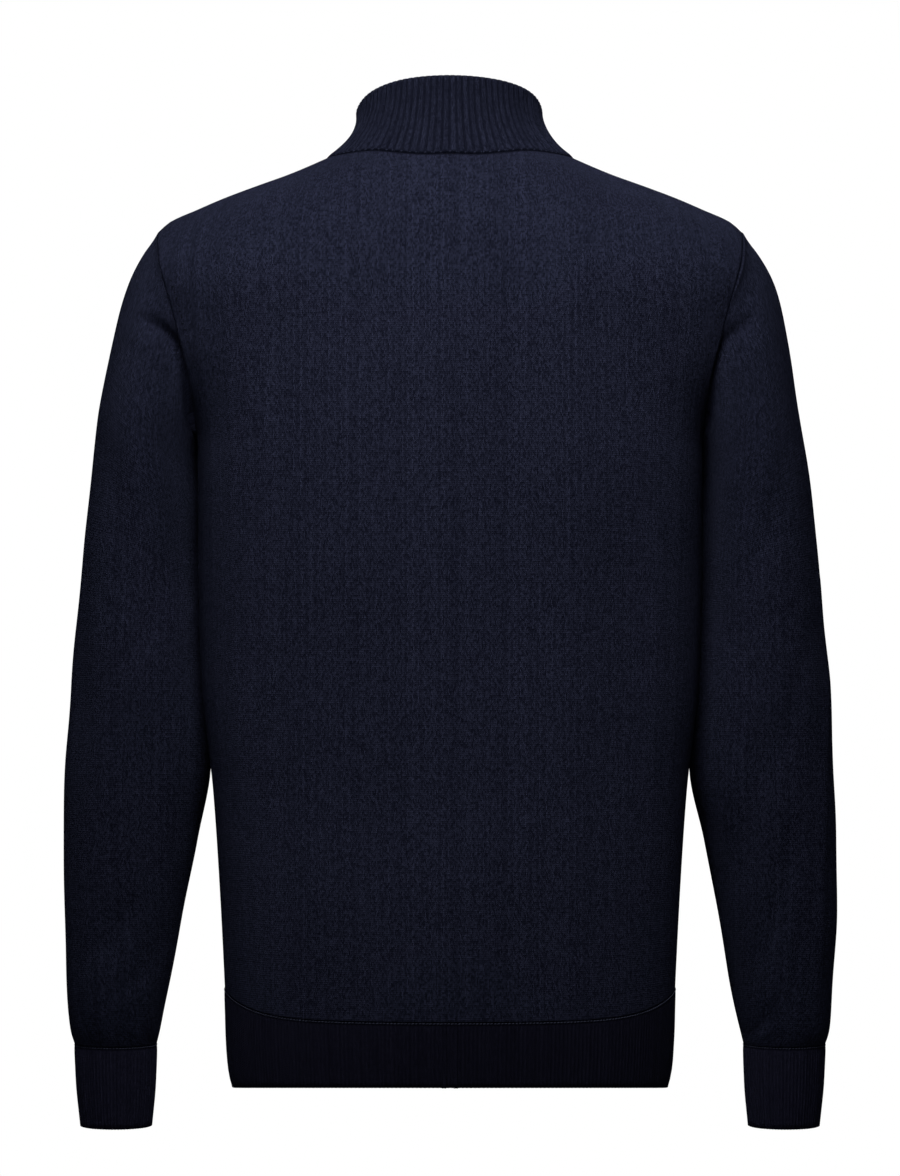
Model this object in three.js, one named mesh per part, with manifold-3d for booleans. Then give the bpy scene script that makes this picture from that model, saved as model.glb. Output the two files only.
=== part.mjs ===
// A men's quarter zip sweater, filled out as worn, with nobody in it: plain knit front, back and sleeves,
// a ribbed stand collar, hem and cuffs, and a zip from the top of the collar down to the chest.
// Millimetres, +Z up. The sweater faces -Y and the wearer's left is +X. The origin is the middle of the
// neck at the height of the high shoulder points, where the wearer's shoulders carry it.
import * as THREE from "three";
import { mergeVertices } from "three/addons/utils/BufferGeometryUtils.js";
import Module from "manifold-3d";

const CLOTH = { wall: 1.8, seamGap: 0.3 };
const RELIEF = { collar: 0.9, hem: 0.6, cuff: 0.6 }; // how far a rib stands out of its band
const RIBS = { collar: 92, hem: 156, cuff: 72 }; // in the collar, in one hem band and in one cuff

// The body at each height: half its width, its depth behind and before the plane of the side seams,
// and that plane's own place.
const BODY = [
  { z: -697, halfWidth: 165.5, backDepth: 112, frontDepth: 113, midY: -3 },
  { z: -655, halfWidth: 167.2, backDepth: 116, frontDepth: 117, midY: -3 },
  { z: -620, halfWidth: 168.7, backDepth: 117, frontDepth: 119, midY: -3 },
  { z: -547, halfWidth: 172.5, backDepth: 115, frontDepth: 121, midY: -4 },
  { z: -475, halfWidth: 177.5, backDepth: 111, frontDepth: 122, midY: -6 },
  { z: -387, halfWidth: 187, backDepth: 110, frontDepth: 124, midY: -8 },
  { z: -303, halfWidth: 189, backDepth: 114, frontDepth: 128, midY: -10 },
  { z: -215, halfWidth: 189, backDepth: 119, frontDepth: 133, midY: -11 },
  { z: -130, halfWidth: 204, backDepth: 119, frontDepth: 131, midY: -10 },
  { z: -60, halfWidth: 218, backDepth: 116, frontDepth: 124, midY: -9 },
  { z: 30, halfWidth: 218, backDepth: 113, frontDepth: 122, midY: -9 },
];

// The panels' upright lines stand evenly round a section of this power.
const LINE_POWER = 2.3;

// The roundness of the body's cross-section: 2 would make it an ellipse, more makes it squarer.
const SECTION = [
  { z: -460, power: 2.3 },
  { z: -330, power: 2.5 },
  { z: -215, power: 2.9 },
  { z: -139, power: 2.3 },
];

// The crest of the shoulders, and inside the neck the line that the cloth would follow without a neck.
const SHOULDER = [
  { x: 0, z: 28 },
  { x: 50, z: 20 },
  { x: 92, z: 0 },
  { x: 120, z: -12 },
  { x: 145, z: -21 },
  { x: 169, z: -30 },
  { x: 190, z: -39 },
  { x: 210, z: -48 },
  { x: 218.5, z: -55.5 },
];

// The armhole seam seen from behind, from the underarm up to the shoulder point.
const ARMHOLE = [
  { z: -215, x: 189 },
  { z: -190, x: 192.5 },
  { z: -165, x: 197 },
  { z: -139, x: 201 },
  { z: -112, x: 207 },
  { z: -80, x: 216 },
  { z: -55.5, x: 218.5 },
];
// Half of the armhole's depth, from where up it is that deep, and how blunt its lower end is.
const ARMHOLE_REACH = { y: 68, fullFromZ: -139, blunt: 0.6 };

// How the cloth curves from the chest and the back up to the shoulder's crest.
const FALL = {
  back: { kneeZ: -110, rise: 2, round: 2 },
  front: { kneeZ: -270, rise: 1.68, round: 1.6 },
};

const NECK = { half: 92, back: 71, front: 77 }; // the neck seam, seen from above
const RIM = { half: 69, midY: -13, back: 63, front: 64, midZ: 33.4, tilt: 31, dip: -7.6 };
const COLLAR_CURVE = 2.3; // how fast the collar turns from the shoulders' slope to upright
const COLLAR_ROWS = [0, 0.2, 0.45, 0.72, 1];

const SLIT_HALF = 6; // half the width that the zip shows between the cloth's edges
const UPPER_ROWS = 12; // rows of a panel from the underarm up, close together at both ends
const NECK_LINES = 7; // lines of a panel's half that end at the neck
const SHOULDER_LINES = 6; // and those that end on the shoulder
const LOWER_ROWS = 8; // rows of a panel from the hem's seam up to the underarm

// Each hem seam is level at the centre and lifts at the side seams; the hem's edge rises to the centre back.
const HEM = { seamZ: -638.5, sideLift: 16, liftPower: 8, edgeZ: -697, backRise: 0.107 };

// A sleeve's rings from the shoulder to the cuff: the outer and the inner point seen from behind, how
// far the ring reaches to each side of its middle along Y, and that middle.
const SLEEVE = [
  { outX: 218.5, outZ: -55.5, inX: 189, inZ: -215, halfY: 59.5, midY: -9 },
  { outX: 222.5, outZ: -61.5, inX: 190.7, inZ: -213.6, halfY: 60.5, midY: -9 },
  { outX: 229.5, outZ: -71.5, inX: 191.7, inZ: -217, halfY: 62, midY: -9.5 },
  { outX: 238, outZ: -88, inX: 192, inZ: -221, halfY: 65, midY: -10 },
  { outX: 245.5, outZ: -109, inX: 192.2, inZ: -226, halfY: 68.5, midY: -11 },
  { outX: 251.5, outZ: -131, inX: 192.2, inZ: -232, halfY: 71, midY: -12 },
  { outX: 257, outZ: -156, inX: 192, inZ: -240, halfY: 72.5, midY: -14 },
  { outX: 262, outZ: -186, inX: 191.8, inZ: -252, halfY: 72.5, midY: -16 },
  { outX: 266.5, outZ: -219, inX: 191.5, inZ: -268, halfY: 70.5, midY: -18 },
  { outX: 271, outZ: -255, inX: 191.2, inZ: -288, halfY: 67.5, midY: -20.5 },
  { outX: 275.5, outZ: -298, inX: 190.8, inZ: -314, halfY: 64.5, midY: -23 },
  { outX: 280, outZ: -348, inX: 190, inZ: -352, halfY: 61, midY: -26 },
  { outX: 285, outZ: -400, inX: 187.6, inZ: -400, halfY: 57.5, midY: -30 },
  { outX: 288.3, outZ: -455, inX: 184.6, inZ: -455, halfY: 53.5, midY: -34 },
  { outX: 289.5, outZ: -511, inX: 190.9, inZ: -511, halfY: 49.5, midY: -39 },
  { outX: 289.3, outZ: -565, inX: 201, inZ: -565, halfY: 45.5, midY: -44.5 },
  { outX: 287, outZ: -620, inX: 210.6, inZ: -620, halfY: 41, midY: -50.5 },
  { outX: 284.3, outZ: -653, inX: 217.2, inZ: -653, halfY: 36, midY: -54.5 },
  { outX: 281, outZ: -664.5, inX: 220, inZ: -664.5, halfY: 32.5, midY: -56 },
];
const SLEEVE_COLUMNS = 2 * UPPER_ROWS; // each ring has a point for each row of the two panels' edges
const ARMHOLE_FADE = 6; // rings over which a sleeve takes on its own shape from the armhole's

const CUFF_EDGE = { x: 250.2, z: -725.6, halfX: 26.3, halfY: 28, midY: -61 };

// Soft troughs in the body's cloth, and ridges where the depth is negative, each along a line seen
// from behind or from the front.
const BODY_FOLDS = [
  { face: "back", x0: -134, z0: -235, x1: -131, z1: -455, halfWidth: 18, depth: 2.6 },
  { face: "back", x0: 141, z0: -330, x1: 138, z1: -560, halfWidth: 17, depth: 2.4 },
  { face: "back", x0: 178, z0: -165, x1: 128, z1: -330, halfWidth: 18, depth: 2.6 },
  { face: "back", x0: -180, z0: -175, x1: -150, z1: -270, halfWidth: 16, depth: 2.2 },
  { face: "back", x0: 150, z0: -540, x1: 158, z1: -615, halfWidth: 12, depth: 2.4 },
  { face: "front", x0: 172, z0: -180, x1: 108, z1: -335, halfWidth: 19, depth: 4 },
  { face: "front", x0: -168, z0: -190, x1: -112, z1: -320, halfWidth: 18, depth: 3.6 },
  { face: "front", x0: 118, z0: -380, x1: 126, z1: -575, halfWidth: 17, depth: 2.8 },
  { face: "front", x0: -128, z0: -350, x1: -120, z1: -600, halfWidth: 18, depth: 2.8 },
];

// The same on the sleeves, where x is the distance from the middle of the body.
const SLEEVE_FOLDS = [
  { sleeve: "left", face: "back", x0: 206, z0: -200, x1: 199, z1: -330, halfWidth: 10, depth: 3 },
  { sleeve: "left", face: "back", x0: 231, z0: -417, x1: 223, z1: -545, halfWidth: 14, depth: 4 },
  { sleeve: "left", face: "front", x0: 214, z0: -395, x1: 258, z1: -455, halfWidth: 12, depth: 4 },
  { sleeve: "left", face: "front", x0: 226, z0: -490, x1: 262, z1: -560, halfWidth: 12, depth: 3.5 },
  { sleeve: "right", face: "back", x0: 280, z0: -318, x1: 279, z1: -655, halfWidth: 6, depth: -2.4 },
  { sleeve: "right", face: "back", x0: 238, z0: -425, x1: 214, z1: -545, halfWidth: 12, depth: 3.6 },
  { sleeve: "right", face: "back", x0: 258, z0: -505, x1: 236, z1: -605, halfWidth: 11, depth: 3.2 },
  { sleeve: "right", face: "front", x0: 212, z0: -410, x1: 252, z1: -480, halfWidth: 12, depth: 4 },
  { sleeve: "right", face: "front", x0: 230, z0: -515, x1: 264, z1: -585, halfWidth: 12, depth: 3.2 },
];

const ZIP = {
  toothGap: 1.3, // from the centre to each tape's inner edge
  tapeEdge: 14.5, // and to its outer edge
  tapeThick: 1,
  tapeClear: 0.7, // from the inside of the cloth, which its flat facets bring closer
  belowSlit: 10, // how far the tapes run on behind the front below the slit
  sliderZ: -17, // the slider's middle, with the zip closed
  topStopZ: -8,
  bottomStopZ: -212,
};
const SLIDER = {
  long: 13, wide: 10, narrow: 8, half: 3, plate: 1.4, flange: 0.9, post: 2, postLong: 3.2, wedge: 4.5,
};
const BRIDGE = { half: 1.4, thick: 1.1, above: 1.6, below: 1.1, leg: 1.4, axisOut: 1.9 };
const TAB = { bar: 0.8, half: 3.4, armIn: 2, windowTo: 4.6, long: 25, endHalf: 2.7, thick: 1.4, round: 1.6 };
const STOP = { wide: 2, long: 2.6, thick: 1.2, bottomWide: 5.4, bottomLong: 3.4 };

const KNIT = new THREE.MeshStandardMaterial({ color: 0x171a2b, roughness: 0.92, metalness: 0 });
const RIB = new THREE.MeshStandardMaterial({ color: 0x141726, roughness: 0.94, metalness: 0 });
const TAPE = new THREE.MeshStandardMaterial({ color: 0x10121c, roughness: 0.8, metalness: 0 });
const METAL = new THREE.MeshStandardMaterial({ color: 0x3a3b40, roughness: 0.35, metalness: 1 });

const { lerp, clamp } = THREE.MathUtils;
const vec = (x, y, z) => new THREE.Vector3(x, y, z);

// A smooth curve through a table's rows, which never swings past them: `value` against `at`.
function follow(rows, at, value) {
  const x = rows.map((row) => row[at]);
  const y = rows.map((row) => row[value]);
  const chord = x.slice(1).map((next, i) => (y[i + 1] - y[i]) / (next - x[i]));
  const slope = x.map((_, i) => {
    if (i === 0) return chord[0];
    if (i === chord.length) return chord[i - 1];
    const product = chord[i - 1] * chord[i];
    return product <= 0 ? 0 : (2 * product) / (chord[i - 1] + chord[i]);
  });
  return (at) => {
    const here = clamp(at, x[0], x[x.length - 1]);
    let i = 0;
    while (i < chord.length - 1 && here > x[i + 1]) i++;
    const step = x[i + 1] - x[i];
    const t = (here - x[i]) / step;
    const start = (1 + 2 * t) * (1 - t) ** 2 * y[i] + t * (1 - t) ** 2 * step * slope[i];
    return start + t * t * (3 - 2 * t) * y[i + 1] + t * t * (t - 1) * step * slope[i + 1];
  };
}

const halfWidth = follow(BODY, "z", "halfWidth");
const midY = follow(BODY, "z", "midY");
const sectionPower = follow(SECTION, "z", "power");
const crestZ = follow(SHOULDER, "x", "z");
const armholeX = follow(ARMHOLE, "z", "x");
const UNDERARM_Z = ARMHOLE[0].z;
const POINT = SHOULDER[SHOULDER.length - 1]; // the shoulder point, where armhole and shoulder seam meet
const FACES = {
  back: { name: "back", sign: 1, depth: follow(BODY, "z", "backDepth"), neck: NECK.back, ...FALL.back },
  front: { name: "front", sign: -1, depth: follow(BODY, "z", "frontDepth"), neck: NECK.front, ...FALL.front },
};

// How deep the folds of one face press in at a place seen from behind or in front.
function foldDepth(folds, x, z) {
  return folds.reduce((sum, fold) => {
    const alongX = fold.x1 - fold.x0;
    const alongZ = fold.z1 - fold.z0;
    const length2 = alongX * alongX + alongZ * alongZ;
    const t = clamp(((x - fold.x0) * alongX + (z - fold.z0) * alongZ) / length2, 0, 1);
    const off = Math.hypot(x - fold.x0 - t * alongX, z - fold.z0 - t * alongZ);
    return sum + fold.depth * Math.exp(-((off / fold.halfWidth) ** 2));
  }, 0);
}

// Half the width of a panel at a height: to the side seam, and above the underarm to the armhole.
const edgeX = (z) => (z < UNDERARM_Z ? halfWidth(z) : armholeX(z));

// How far the armhole lies behind or before the side seam's plane.
function armholeReach(z) {
  if (z <= UNDERARM_Z) return 0;
  if (z >= ARMHOLE_REACH.fullFromZ) return ARMHOLE_REACH.y;
  const t = (z - ARMHOLE_REACH.fullFromZ) / (UNDERARM_Z - ARMHOLE_REACH.fullFromZ);
  return ARMHOLE_REACH.y * (1 - t * t) ** ARMHOLE_REACH.blunt;
}

// The depth that the body's rounded section has at a place, before the shoulder's fall.
function sectionDepth(face, x, z) {
  const depth = face.depth(z);
  const power = sectionPower(z);
  const hull = edgeX(z) / (1 - (armholeReach(z) / depth) ** power) ** (1 / power);
  const across = Math.min(1, Math.abs(x) / hull);
  return depth * (1 - across ** power) ** (1 / power);
}

// The share of that depth that is left on the way up to the shoulder's crest.
function shoulderFall(face, x, z) {
  const up = clamp((z - face.kneeZ) / (crestZ(Math.abs(x)) - face.kneeZ), 0, 1);
  return (1 - up ** face.rise) ** (1 / face.round);
}

// A point on the outside of a panel.
function bodyPoint(face, x, z) {
  const depth = sectionDepth(face, x, z) * shoulderFall(face, x, z);
  const flat = 1 - Math.min(1, Math.abs(x) / edgeX(z)) ** 4;
  const folds = BODY_FOLDS.filter((fold) => fold.face === face.name);
  const out = CLOTH.seamGap / 2 + depth - flat * foldDepth(folds, x, z);
  return vec(x, midY(z) + face.sign * out, z);
}

// The height of the neck seam, where the panel's surface meets the neck's outline.
function neckZ(face, x) {
  const depth = face.neck * Math.sqrt(Math.max(0, 1 - (x / NECK.half) ** 2));
  let z = 0;
  for (let pass = 0; pass < 20; pass++) {
    const share = Math.min(1, depth / sectionDepth(face, x, z));
    const up = (1 - share ** face.round) ** (1 / face.rise);
    z = face.kneeZ + up * (crestZ(Math.abs(x)) - face.kneeZ);
  }
  return z;
}

// The lines that run up a panel, from its centre to its edge, each as a share of the way across.
const NECK_SHARE = 0.5;
const HALF_LINES = [
  0,
  ...Array.from({ length: NECK_LINES }, (_, i) => (NECK_SHARE * (i + 1)) / NECK_LINES),
  ...Array.from(
    { length: SHOULDER_LINES },
    (_, i) => NECK_SHARE + ((1 - NECK_SHARE) * (i + 1)) / SHOULDER_LINES,
  ),
];
const LINES = [
  ...[...HALF_LINES].reverse().map((share) => ({ share, side: -1 })),
  ...HALF_LINES.map((share) => ({ share, side: 1 })),
];
const CENTRE_LINE = HALF_LINES.length; // the first line on the wearer's left of the centre
const NECK_LINE = CENTRE_LINE + NECK_LINES; // the line that ends at the high shoulder point
const slitAngle = Math.asin(SLIT_HALF / NECK.half);

// Where a line ends on the neck or the shoulder; the centre lines end at the zip's edges.
function topX(share) {
  if (share <= NECK_SHARE) {
    return NECK.half * Math.sin(lerp(slitAngle, Math.PI / 2, share / NECK_SHARE));
  }
  return lerp(NECK.half, POINT.x, (share - NECK_SHARE) / (1 - NECK_SHARE));
}

// Where a line crosses a level of the body, even round its section.
const levelShare = (share) => Math.sin((share * Math.PI) / 2) ** (2 / LINE_POWER);
const levelX = (share, edge) => (share === 0 ? SLIT_HALF : edge * levelShare(share));
const hemSeamZ = (share) => HEM.seamZ + HEM.sideLift * levelShare(share) ** HEM.liftPower;

// The outside of a panel as rows of points, from the hem's seam up to the neck and the shoulders.
function panelRows(face) {
  const rows = [];
  for (let i = 0; i < LOWER_ROWS; i++) {
    rows.push(
      LINES.map(({ share, side }) => {
        const z = lerp(hemSeamZ(share), UNDERARM_Z, i / LOWER_ROWS);
        return bodyPoint(face, side * levelX(share, halfWidth(z)), z);
      }),
    );
  }
  for (let i = 0; i <= UPPER_ROWS; i++) {
    const up = (1 - Math.cos((i / UPPER_ROWS) * Math.PI)) / 2;
    const edge = armholeX(lerp(UNDERARM_Z, POINT.z, up));
    rows.push(
      LINES.map(({ share, side }) => {
        const endX = topX(share);
        const endZ = share < NECK_SHARE ? neckZ(face, endX) : crestZ(endX);
        const turn = up * up * (3 - 2 * up);
        const x = share === 0 ? SLIT_HALF : lerp(levelX(share, edge), (endX * edge) / POINT.x, turn);
        return bodyPoint(face, side * x, lerp(UNDERARM_Z, endZ, up));
      }),
    );
  }
  return rows;
}

// The outward direction at each point of a sheet. `sign` turns it round where the rows run the other way.
function normals(rows, sign, round = false) {
  return rows.map((row, r) =>
    row.map((_, c) => {
      const before = round ? (c + row.length - 1) % row.length : Math.max(0, c - 1);
      const after = round ? (c + 1) % row.length : Math.min(row.length - 1, c + 1);
      const along = row[after].clone().sub(row[before]);
      const up = rows[Math.min(rows.length - 1, r + 1)][c].clone().sub(rows[Math.max(0, r - 1)][c]);
      return along.cross(up).normalize().multiplyScalar(sign);
    }),
  );
}

// A sheet's points moved along its directions: out for a positive distance, in for a negative one.
const moved = (rows, directions, distance) =>
  rows.map((row, r) => row.map((point, c) => point.clone().addScaledVector(directions[r][c], distance)));

// Takes the part along Y out of the directions on seams that lie in the plane between front and back.
function squareToSideSeams(directions) {
  directions.forEach((row, r) => {
    row.forEach((direction, c) => {
      const atSide = c === 0 || c === row.length - 1;
      const atShoulder = r === directions.length - 1 && Math.abs(c - CENTRE_LINE + 0.5) > NECK_LINES;
      if ((atSide && r <= LOWER_ROWS) || atShoulder) direction.setY(0).normalize();
    });
  });
  return directions;
}

// One closed wall between an outer and an inner sheet with as many rows. The sheets may have
// different numbers of columns, which `outerAt` and `innerAt` place from 0 to 1 along each row. A round
// wall closes on itself. `open` says which cells are left out, on sheets with equal columns.
function wall({ outer, inner, round = false, outerAt = null, innerAt = null, open = () => false }) {
  const points = [];
  const faces = [];
  const keep = (rows) => rows.map((row) => row.map((point) => points.push(point) - 1));
  const out = keep(outer);
  const back = keep(inner);
  const last = out.length - 1;
  const wrap = (row, c) => row[c % row.length];
  const cells = (row) => (round ? row.length : row.length - 1);
  const quad = (a, b, c, d) => faces.push([a, b, c], [a, c, d]);

  const sheet = (rows, turn) => {
    for (let r = 0; r < last; r++) {
      for (let c = 0; c < cells(rows[r]); c++) {
        if (open(r, c)) continue;
        const ring = [wrap(rows[r], c), wrap(rows[r], c + 1), wrap(rows[r + 1], c + 1), wrap(rows[r + 1], c)];
        quad(...(turn ? [ring[1], ring[0], ring[3], ring[2]] : ring));
      }
    }
  };
  sheet(out, false);
  sheet(back, true);

  if (outerAt) {
    // The first and last rows, where two unlike rows of columns are laced together.
    for (const r of [0, last]) {
      let o = 0;
      let i = 0;
      const ends = [cells(out[r]), cells(back[r])];
      while (o < ends[0] || i < ends[1]) {
        const stepOuter = i >= ends[1] || (o < ends[0] && outerAt[o + 1] <= innerAt[i + 1]);
        const a = wrap(out[r], o);
        const b = wrap(back[r], i);
        const next = stepOuter ? wrap(out[r], o + 1) : wrap(back[r], i + 1);
        const face = stepOuter ? [next, a, b] : [b, next, a];
        faces.push(r === 0 ? face : face.reverse());
        if (stepOuter) o++;
        else i++;
      }
    }
    if (!round) {
      const o = cells(out[0]);
      const i = cells(back[0]);
      for (let r = 0; r < last; r++) {
        quad(out[r][0], out[r + 1][0], back[r + 1][0], back[r][0]);
        quad(out[r + 1][o], out[r][o], back[r][i], back[r + 1][i]);
      }
    }
  } else {
    const present = (r, c) => {
      if (r < 0 || r >= last) return false;
      const across = round ? (c + cells(out[0])) % cells(out[0]) : c;
      return across >= 0 && across < cells(out[0]) && !open(r, across);
    };
    for (let r = 0; r < last; r++) {
      for (let c = 0; c < cells(out[0]); c++) {
        if (!present(r, c)) continue;
        // Split along the shorter diagonal, as the piece on the other side of a seam is.
        const rim = (r0, c0, r1, c1) => {
          const ring = [wrap(out[r1], c1), wrap(out[r0], c0), wrap(back[r0], c0), wrap(back[r1], c1)];
          const reach = (a, b) => points[ring[a]].distanceTo(points[ring[b]]);
          if (reach(0, 2) > reach(1, 3)) ring.push(ring.shift());
          quad(...ring);
        };
        if (!present(r - 1, c)) rim(r, c, r, c + 1);
        if (!present(r, c + 1)) rim(r, c + 1, r + 1, c + 1);
        if (!present(r + 1, c)) rim(r + 1, c + 1, r + 1, c);
        if (!present(r, c - 1)) rim(r + 1, c, r, c);
      }
    }
  }
  return closedGeometry(points, faces);
}

// A geometry from points and faces, turned to face outwards, with only the points that it uses.
function closedGeometry(points, faces) {
  const volume = faces.reduce((sum, [a, b, c]) => {
    return sum + points[a].dot(points[b].clone().cross(points[c]));
  }, 0);
  const index = faces.flatMap(([a, b, c]) => (volume < 0 ? [a, c, b] : [a, b, c]));
  const used = [...new Set(index)];
  const place = new Map(used.map((old, i) => [old, i]));
  const geometry = new THREE.BufferGeometry();
  const flat = used.flatMap((i) => points[i].toArray());
  geometry.setAttribute("position", new THREE.Float32BufferAttribute(flat, 3));
  geometry.setIndex(index.map((i) => place.get(i)));
  geometry.computeVertexNormals();
  return geometry;
}

// A ribbed band on a plain inside. Its outside is the same sheet, with two columns for each rib, the
// second of which stands out.
function ribbedWall({ outer, directions, inner, ribs, relief, round = false }) {
  const middle = outer[Math.floor(outer.length / 2)];
  const ends = round ? [...middle, middle[0]] : middle;
  const reach = [0];
  for (let c = 1; c < ends.length; c++) reach.push(reach[c - 1] + ends[c].distanceTo(ends[c - 1]));
  const innerAt = reach.map((length) => length / reach[reach.length - 1]);
  const outerAt = Array.from({ length: 2 * ribs + 1 }, (_, i) => i / (2 * ribs));
  const columns = round ? outerAt.slice(0, -1) : outerAt;
  const fine = outer.map((row, r) =>
    columns.map((at, i) => {
      let c = 0;
      while (c < innerAt.length - 2 && at > innerAt[c + 1]) c++;
      const t = (at - innerAt[c]) / (innerAt[c + 1] - innerAt[c]);
      const next = (c + 1) % row.length;
      const out = directions[r][c].clone().lerp(directions[r][next], t).normalize();
      return row[c].clone().lerp(row[next], t).addScaledVector(out, i % 2 ? relief : 0);
    }),
  );
  return wall({ outer: fine, inner, round, outerAt, innerAt });
}

const group = new THREE.Group();

function addPiece(name, geometry, material, parent = group) {
  const mesh = new THREE.Mesh(geometry, material);
  mesh.name = name;
  parent.add(mesh);
  return mesh;
}

// The panels. Each keeps its outer points, their directions and its inner points for what is sewn to it.
const panels = {};
for (const face of Object.values(FACES)) {
  const outer = panelRows(face);
  const directions = squareToSideSeams(normals(outer, face.sign * -1));
  const inner = moved(outer, directions, -CLOTH.wall);
  panels[face.name] = { face, outer, directions, inner };
  const slit = (r, c) => face.name === "front" && c === CENTRE_LINE - 1 && r >= LOWER_ROWS;
  addPiece(face.name, wall({ outer, inner, open: slit }), KNIT);
}

// The hem bands, which go on down from the panels' last points.
for (const { face, outer, directions, inner } of Object.values(panels)) {
  const drop = vec(0, 0, -CLOTH.seamGap);
  const edge = LINES.map(({ share, side }) => {
    const x = side * levelX(share, halfWidth(HEM.edgeZ));
    const flatPoint = bodyPoint(face, x, HEM.edgeZ);
    const rise = HEM.backRise * Math.max(0, flatPoint.y - midY(HEM.edgeZ));
    return bodyPoint(face, x, HEM.edgeZ + rise);
  });
  const rows = [outer[0].map((point) => point.clone().add(drop)), edge];
  const out = normals(rows, face.sign);
  for (const row of out) {
    row[0].setY(0).normalize();
    row[row.length - 1].setY(0).normalize();
  }
  out[0] = directions[0];
  const inside = [
    inner[0].map((point) => point.clone().add(drop)),
    edge.map((point, c) => point.clone().addScaledVector(out[1][c], -CLOTH.wall)),
  ];
  const band = { outer: rows, directions: out, inner: inside, ribs: RIBS.hem, relief: RELIEF.hem };
  addPiece("hem_rib_" + face.name, ribbedWall(band), RIB);
}

// Moves a seam's points on from the panel's edge by the seam's gap, square to the edge and in the cloth.
function acrossSeam(edge) {
  return edge.map((place, i) => {
    const along = edge[(i + 1) % edge.length].out.clone().sub(edge[(i + edge.length - 1) % edge.length].out);
    const step = along.cross(place.direction).normalize();
    if (step.dot(place.out.clone().sub(place.within)) < 0) step.negate();
    step.multiplyScalar(CLOTH.seamGap);
    const out = place.out.clone().add(step);
    return { out, back: place.back.clone().add(step), direction: place.direction };
  });
}

// The middle between two places of an edge, where front and back meet.
function between(a, b) {
  return {
    out: a.out.clone().lerp(b.out, 0.5),
    back: a.back.clone().lerp(b.back, 0.5),
    direction: a.direction.clone().add(b.direction).normalize(),
    within: a.within.clone().lerp(b.within, 0.5),
  };
}

// A place on a panel's edge. `within` is a point further inside the panel, a row down and `step` columns on.
const placeOn = (panel, r, c, step = 0) => ({
  out: panel.outer[r][c],
  back: panel.inner[r][c],
  direction: panel.directions[r][c],
  within: panel.outer[r - 1][c + step],
});

// The sleeves. A ring's first point is its outermost one, then it runs round the back.
const sleeves = {};
for (const [name, side] of [["left", 1], ["right", -1]]) {
  const column = side > 0 ? LINES.length - 1 : 0;
  const backEdge = [];
  const frontEdge = [];
  for (let i = 0; i <= UPPER_ROWS; i++) {
    backEdge.push(placeOn(panels.back, LOWER_ROWS + i, column, -side));
    frontEdge.push(placeOn(panels.front, LOWER_ROWS + i, column, -side));
  }
  const armhole = [between(backEdge[UPPER_ROWS], frontEdge[UPPER_ROWS])];
  for (let i = UPPER_ROWS - 1; i > 0; i--) armhole.push(backEdge[i]);
  armhole.push(between(backEdge[0], frontEdge[0]));
  for (let i = 1; i < UPPER_ROWS; i++) armhole.push(frontEdge[i]);
  const seam = acrossSeam(armhole);

  const ringPoint = (row, j) => {
    const angle = (2 * Math.PI * j) / SLEEVE_COLUMNS;
    const reach = Math.cos(angle) / 2;
    return vec(
      side * ((row.outX + row.inX) / 2 + reach * (row.outX - row.inX)),
      row.midY + row.halfY * Math.sin(angle),
      (row.outZ + row.inZ) / 2 + reach * (row.outZ - row.inZ),
    );
  };
  const rings = SLEEVE.map((row, k) =>
    seam.map((place, j) => {
      if (k === 0) return place.out;
      const fade = Math.max(0, 1 - k / ARMHOLE_FADE) ** 2;
      const offset = armhole[j].out.clone().sub(ringPoint(SLEEVE[0], j));
      const point = ringPoint(row, j).addScaledVector(offset, fade);
      const angle = (2 * Math.PI * j) / SLEEVE_COLUMNS;
      const face = Math.sin(angle) > 0 ? "back" : "front";
      const folds = SLEEVE_FOLDS.filter((fold) => fold.sleeve === name && fold.face === face);
      const press = foldDepth(folds, Math.abs(point.x), point.z) * Math.sqrt(Math.abs(Math.sin(angle)));
      return point.add(vec(-side * Math.cos(angle), -Math.sin(angle), 0).multiplyScalar(press));
    }),
  );
  const directions = normals(rings, -side, true);
  directions[0] = seam.map((place) => place.direction);
  // The first ring turns over the seam, so it takes the mean of its neighbours' directions.
  directions[1] = directions[1].map((_, j) => directions[0][j].clone().add(directions[2][j]).normalize());
  const inner = moved(rings, directions, -CLOTH.wall);
  inner[0] = seam.map((place) => place.back);
  sleeves[name] = { side, rings, directions, inner };
  addPiece("sleeve_" + name, wall({ outer: rings, inner, round: true }), KNIT);
}

// The cuffs, which go on down from the sleeves' last rings.
for (const [name, { side, rings, directions, inner }] of Object.entries(sleeves)) {
  const drop = vec(0, 0, -CLOTH.seamGap);
  const last = rings.length - 1;
  const edge = rings[last].map((_, j) => {
    const angle = (2 * Math.PI * j) / SLEEVE_COLUMNS;
    const x = side * (CUFF_EDGE.x + CUFF_EDGE.halfX * Math.cos(angle));
    return vec(x, CUFF_EDGE.midY + CUFF_EDGE.halfY * Math.sin(angle), CUFF_EDGE.z);
  });
  const rows = [rings[last].map((point) => point.clone().add(drop)), edge];
  const out = normals(rows, -side, true);
  out[0] = directions[last];
  const inside = [
    inner[last].map((point) => point.clone().add(drop)),
    edge.map((point, j) => point.clone().addScaledVector(out[1][j], -CLOTH.wall)),
  ];
  const ribs = { ribs: RIBS.cuff, relief: RELIEF.cuff, round: true };
  const cuff = { outer: rows, directions: out, inner: inside, ...ribs };
  addPiece("cuff_" + name, ribbedWall(cuff), RIB);
}

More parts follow.
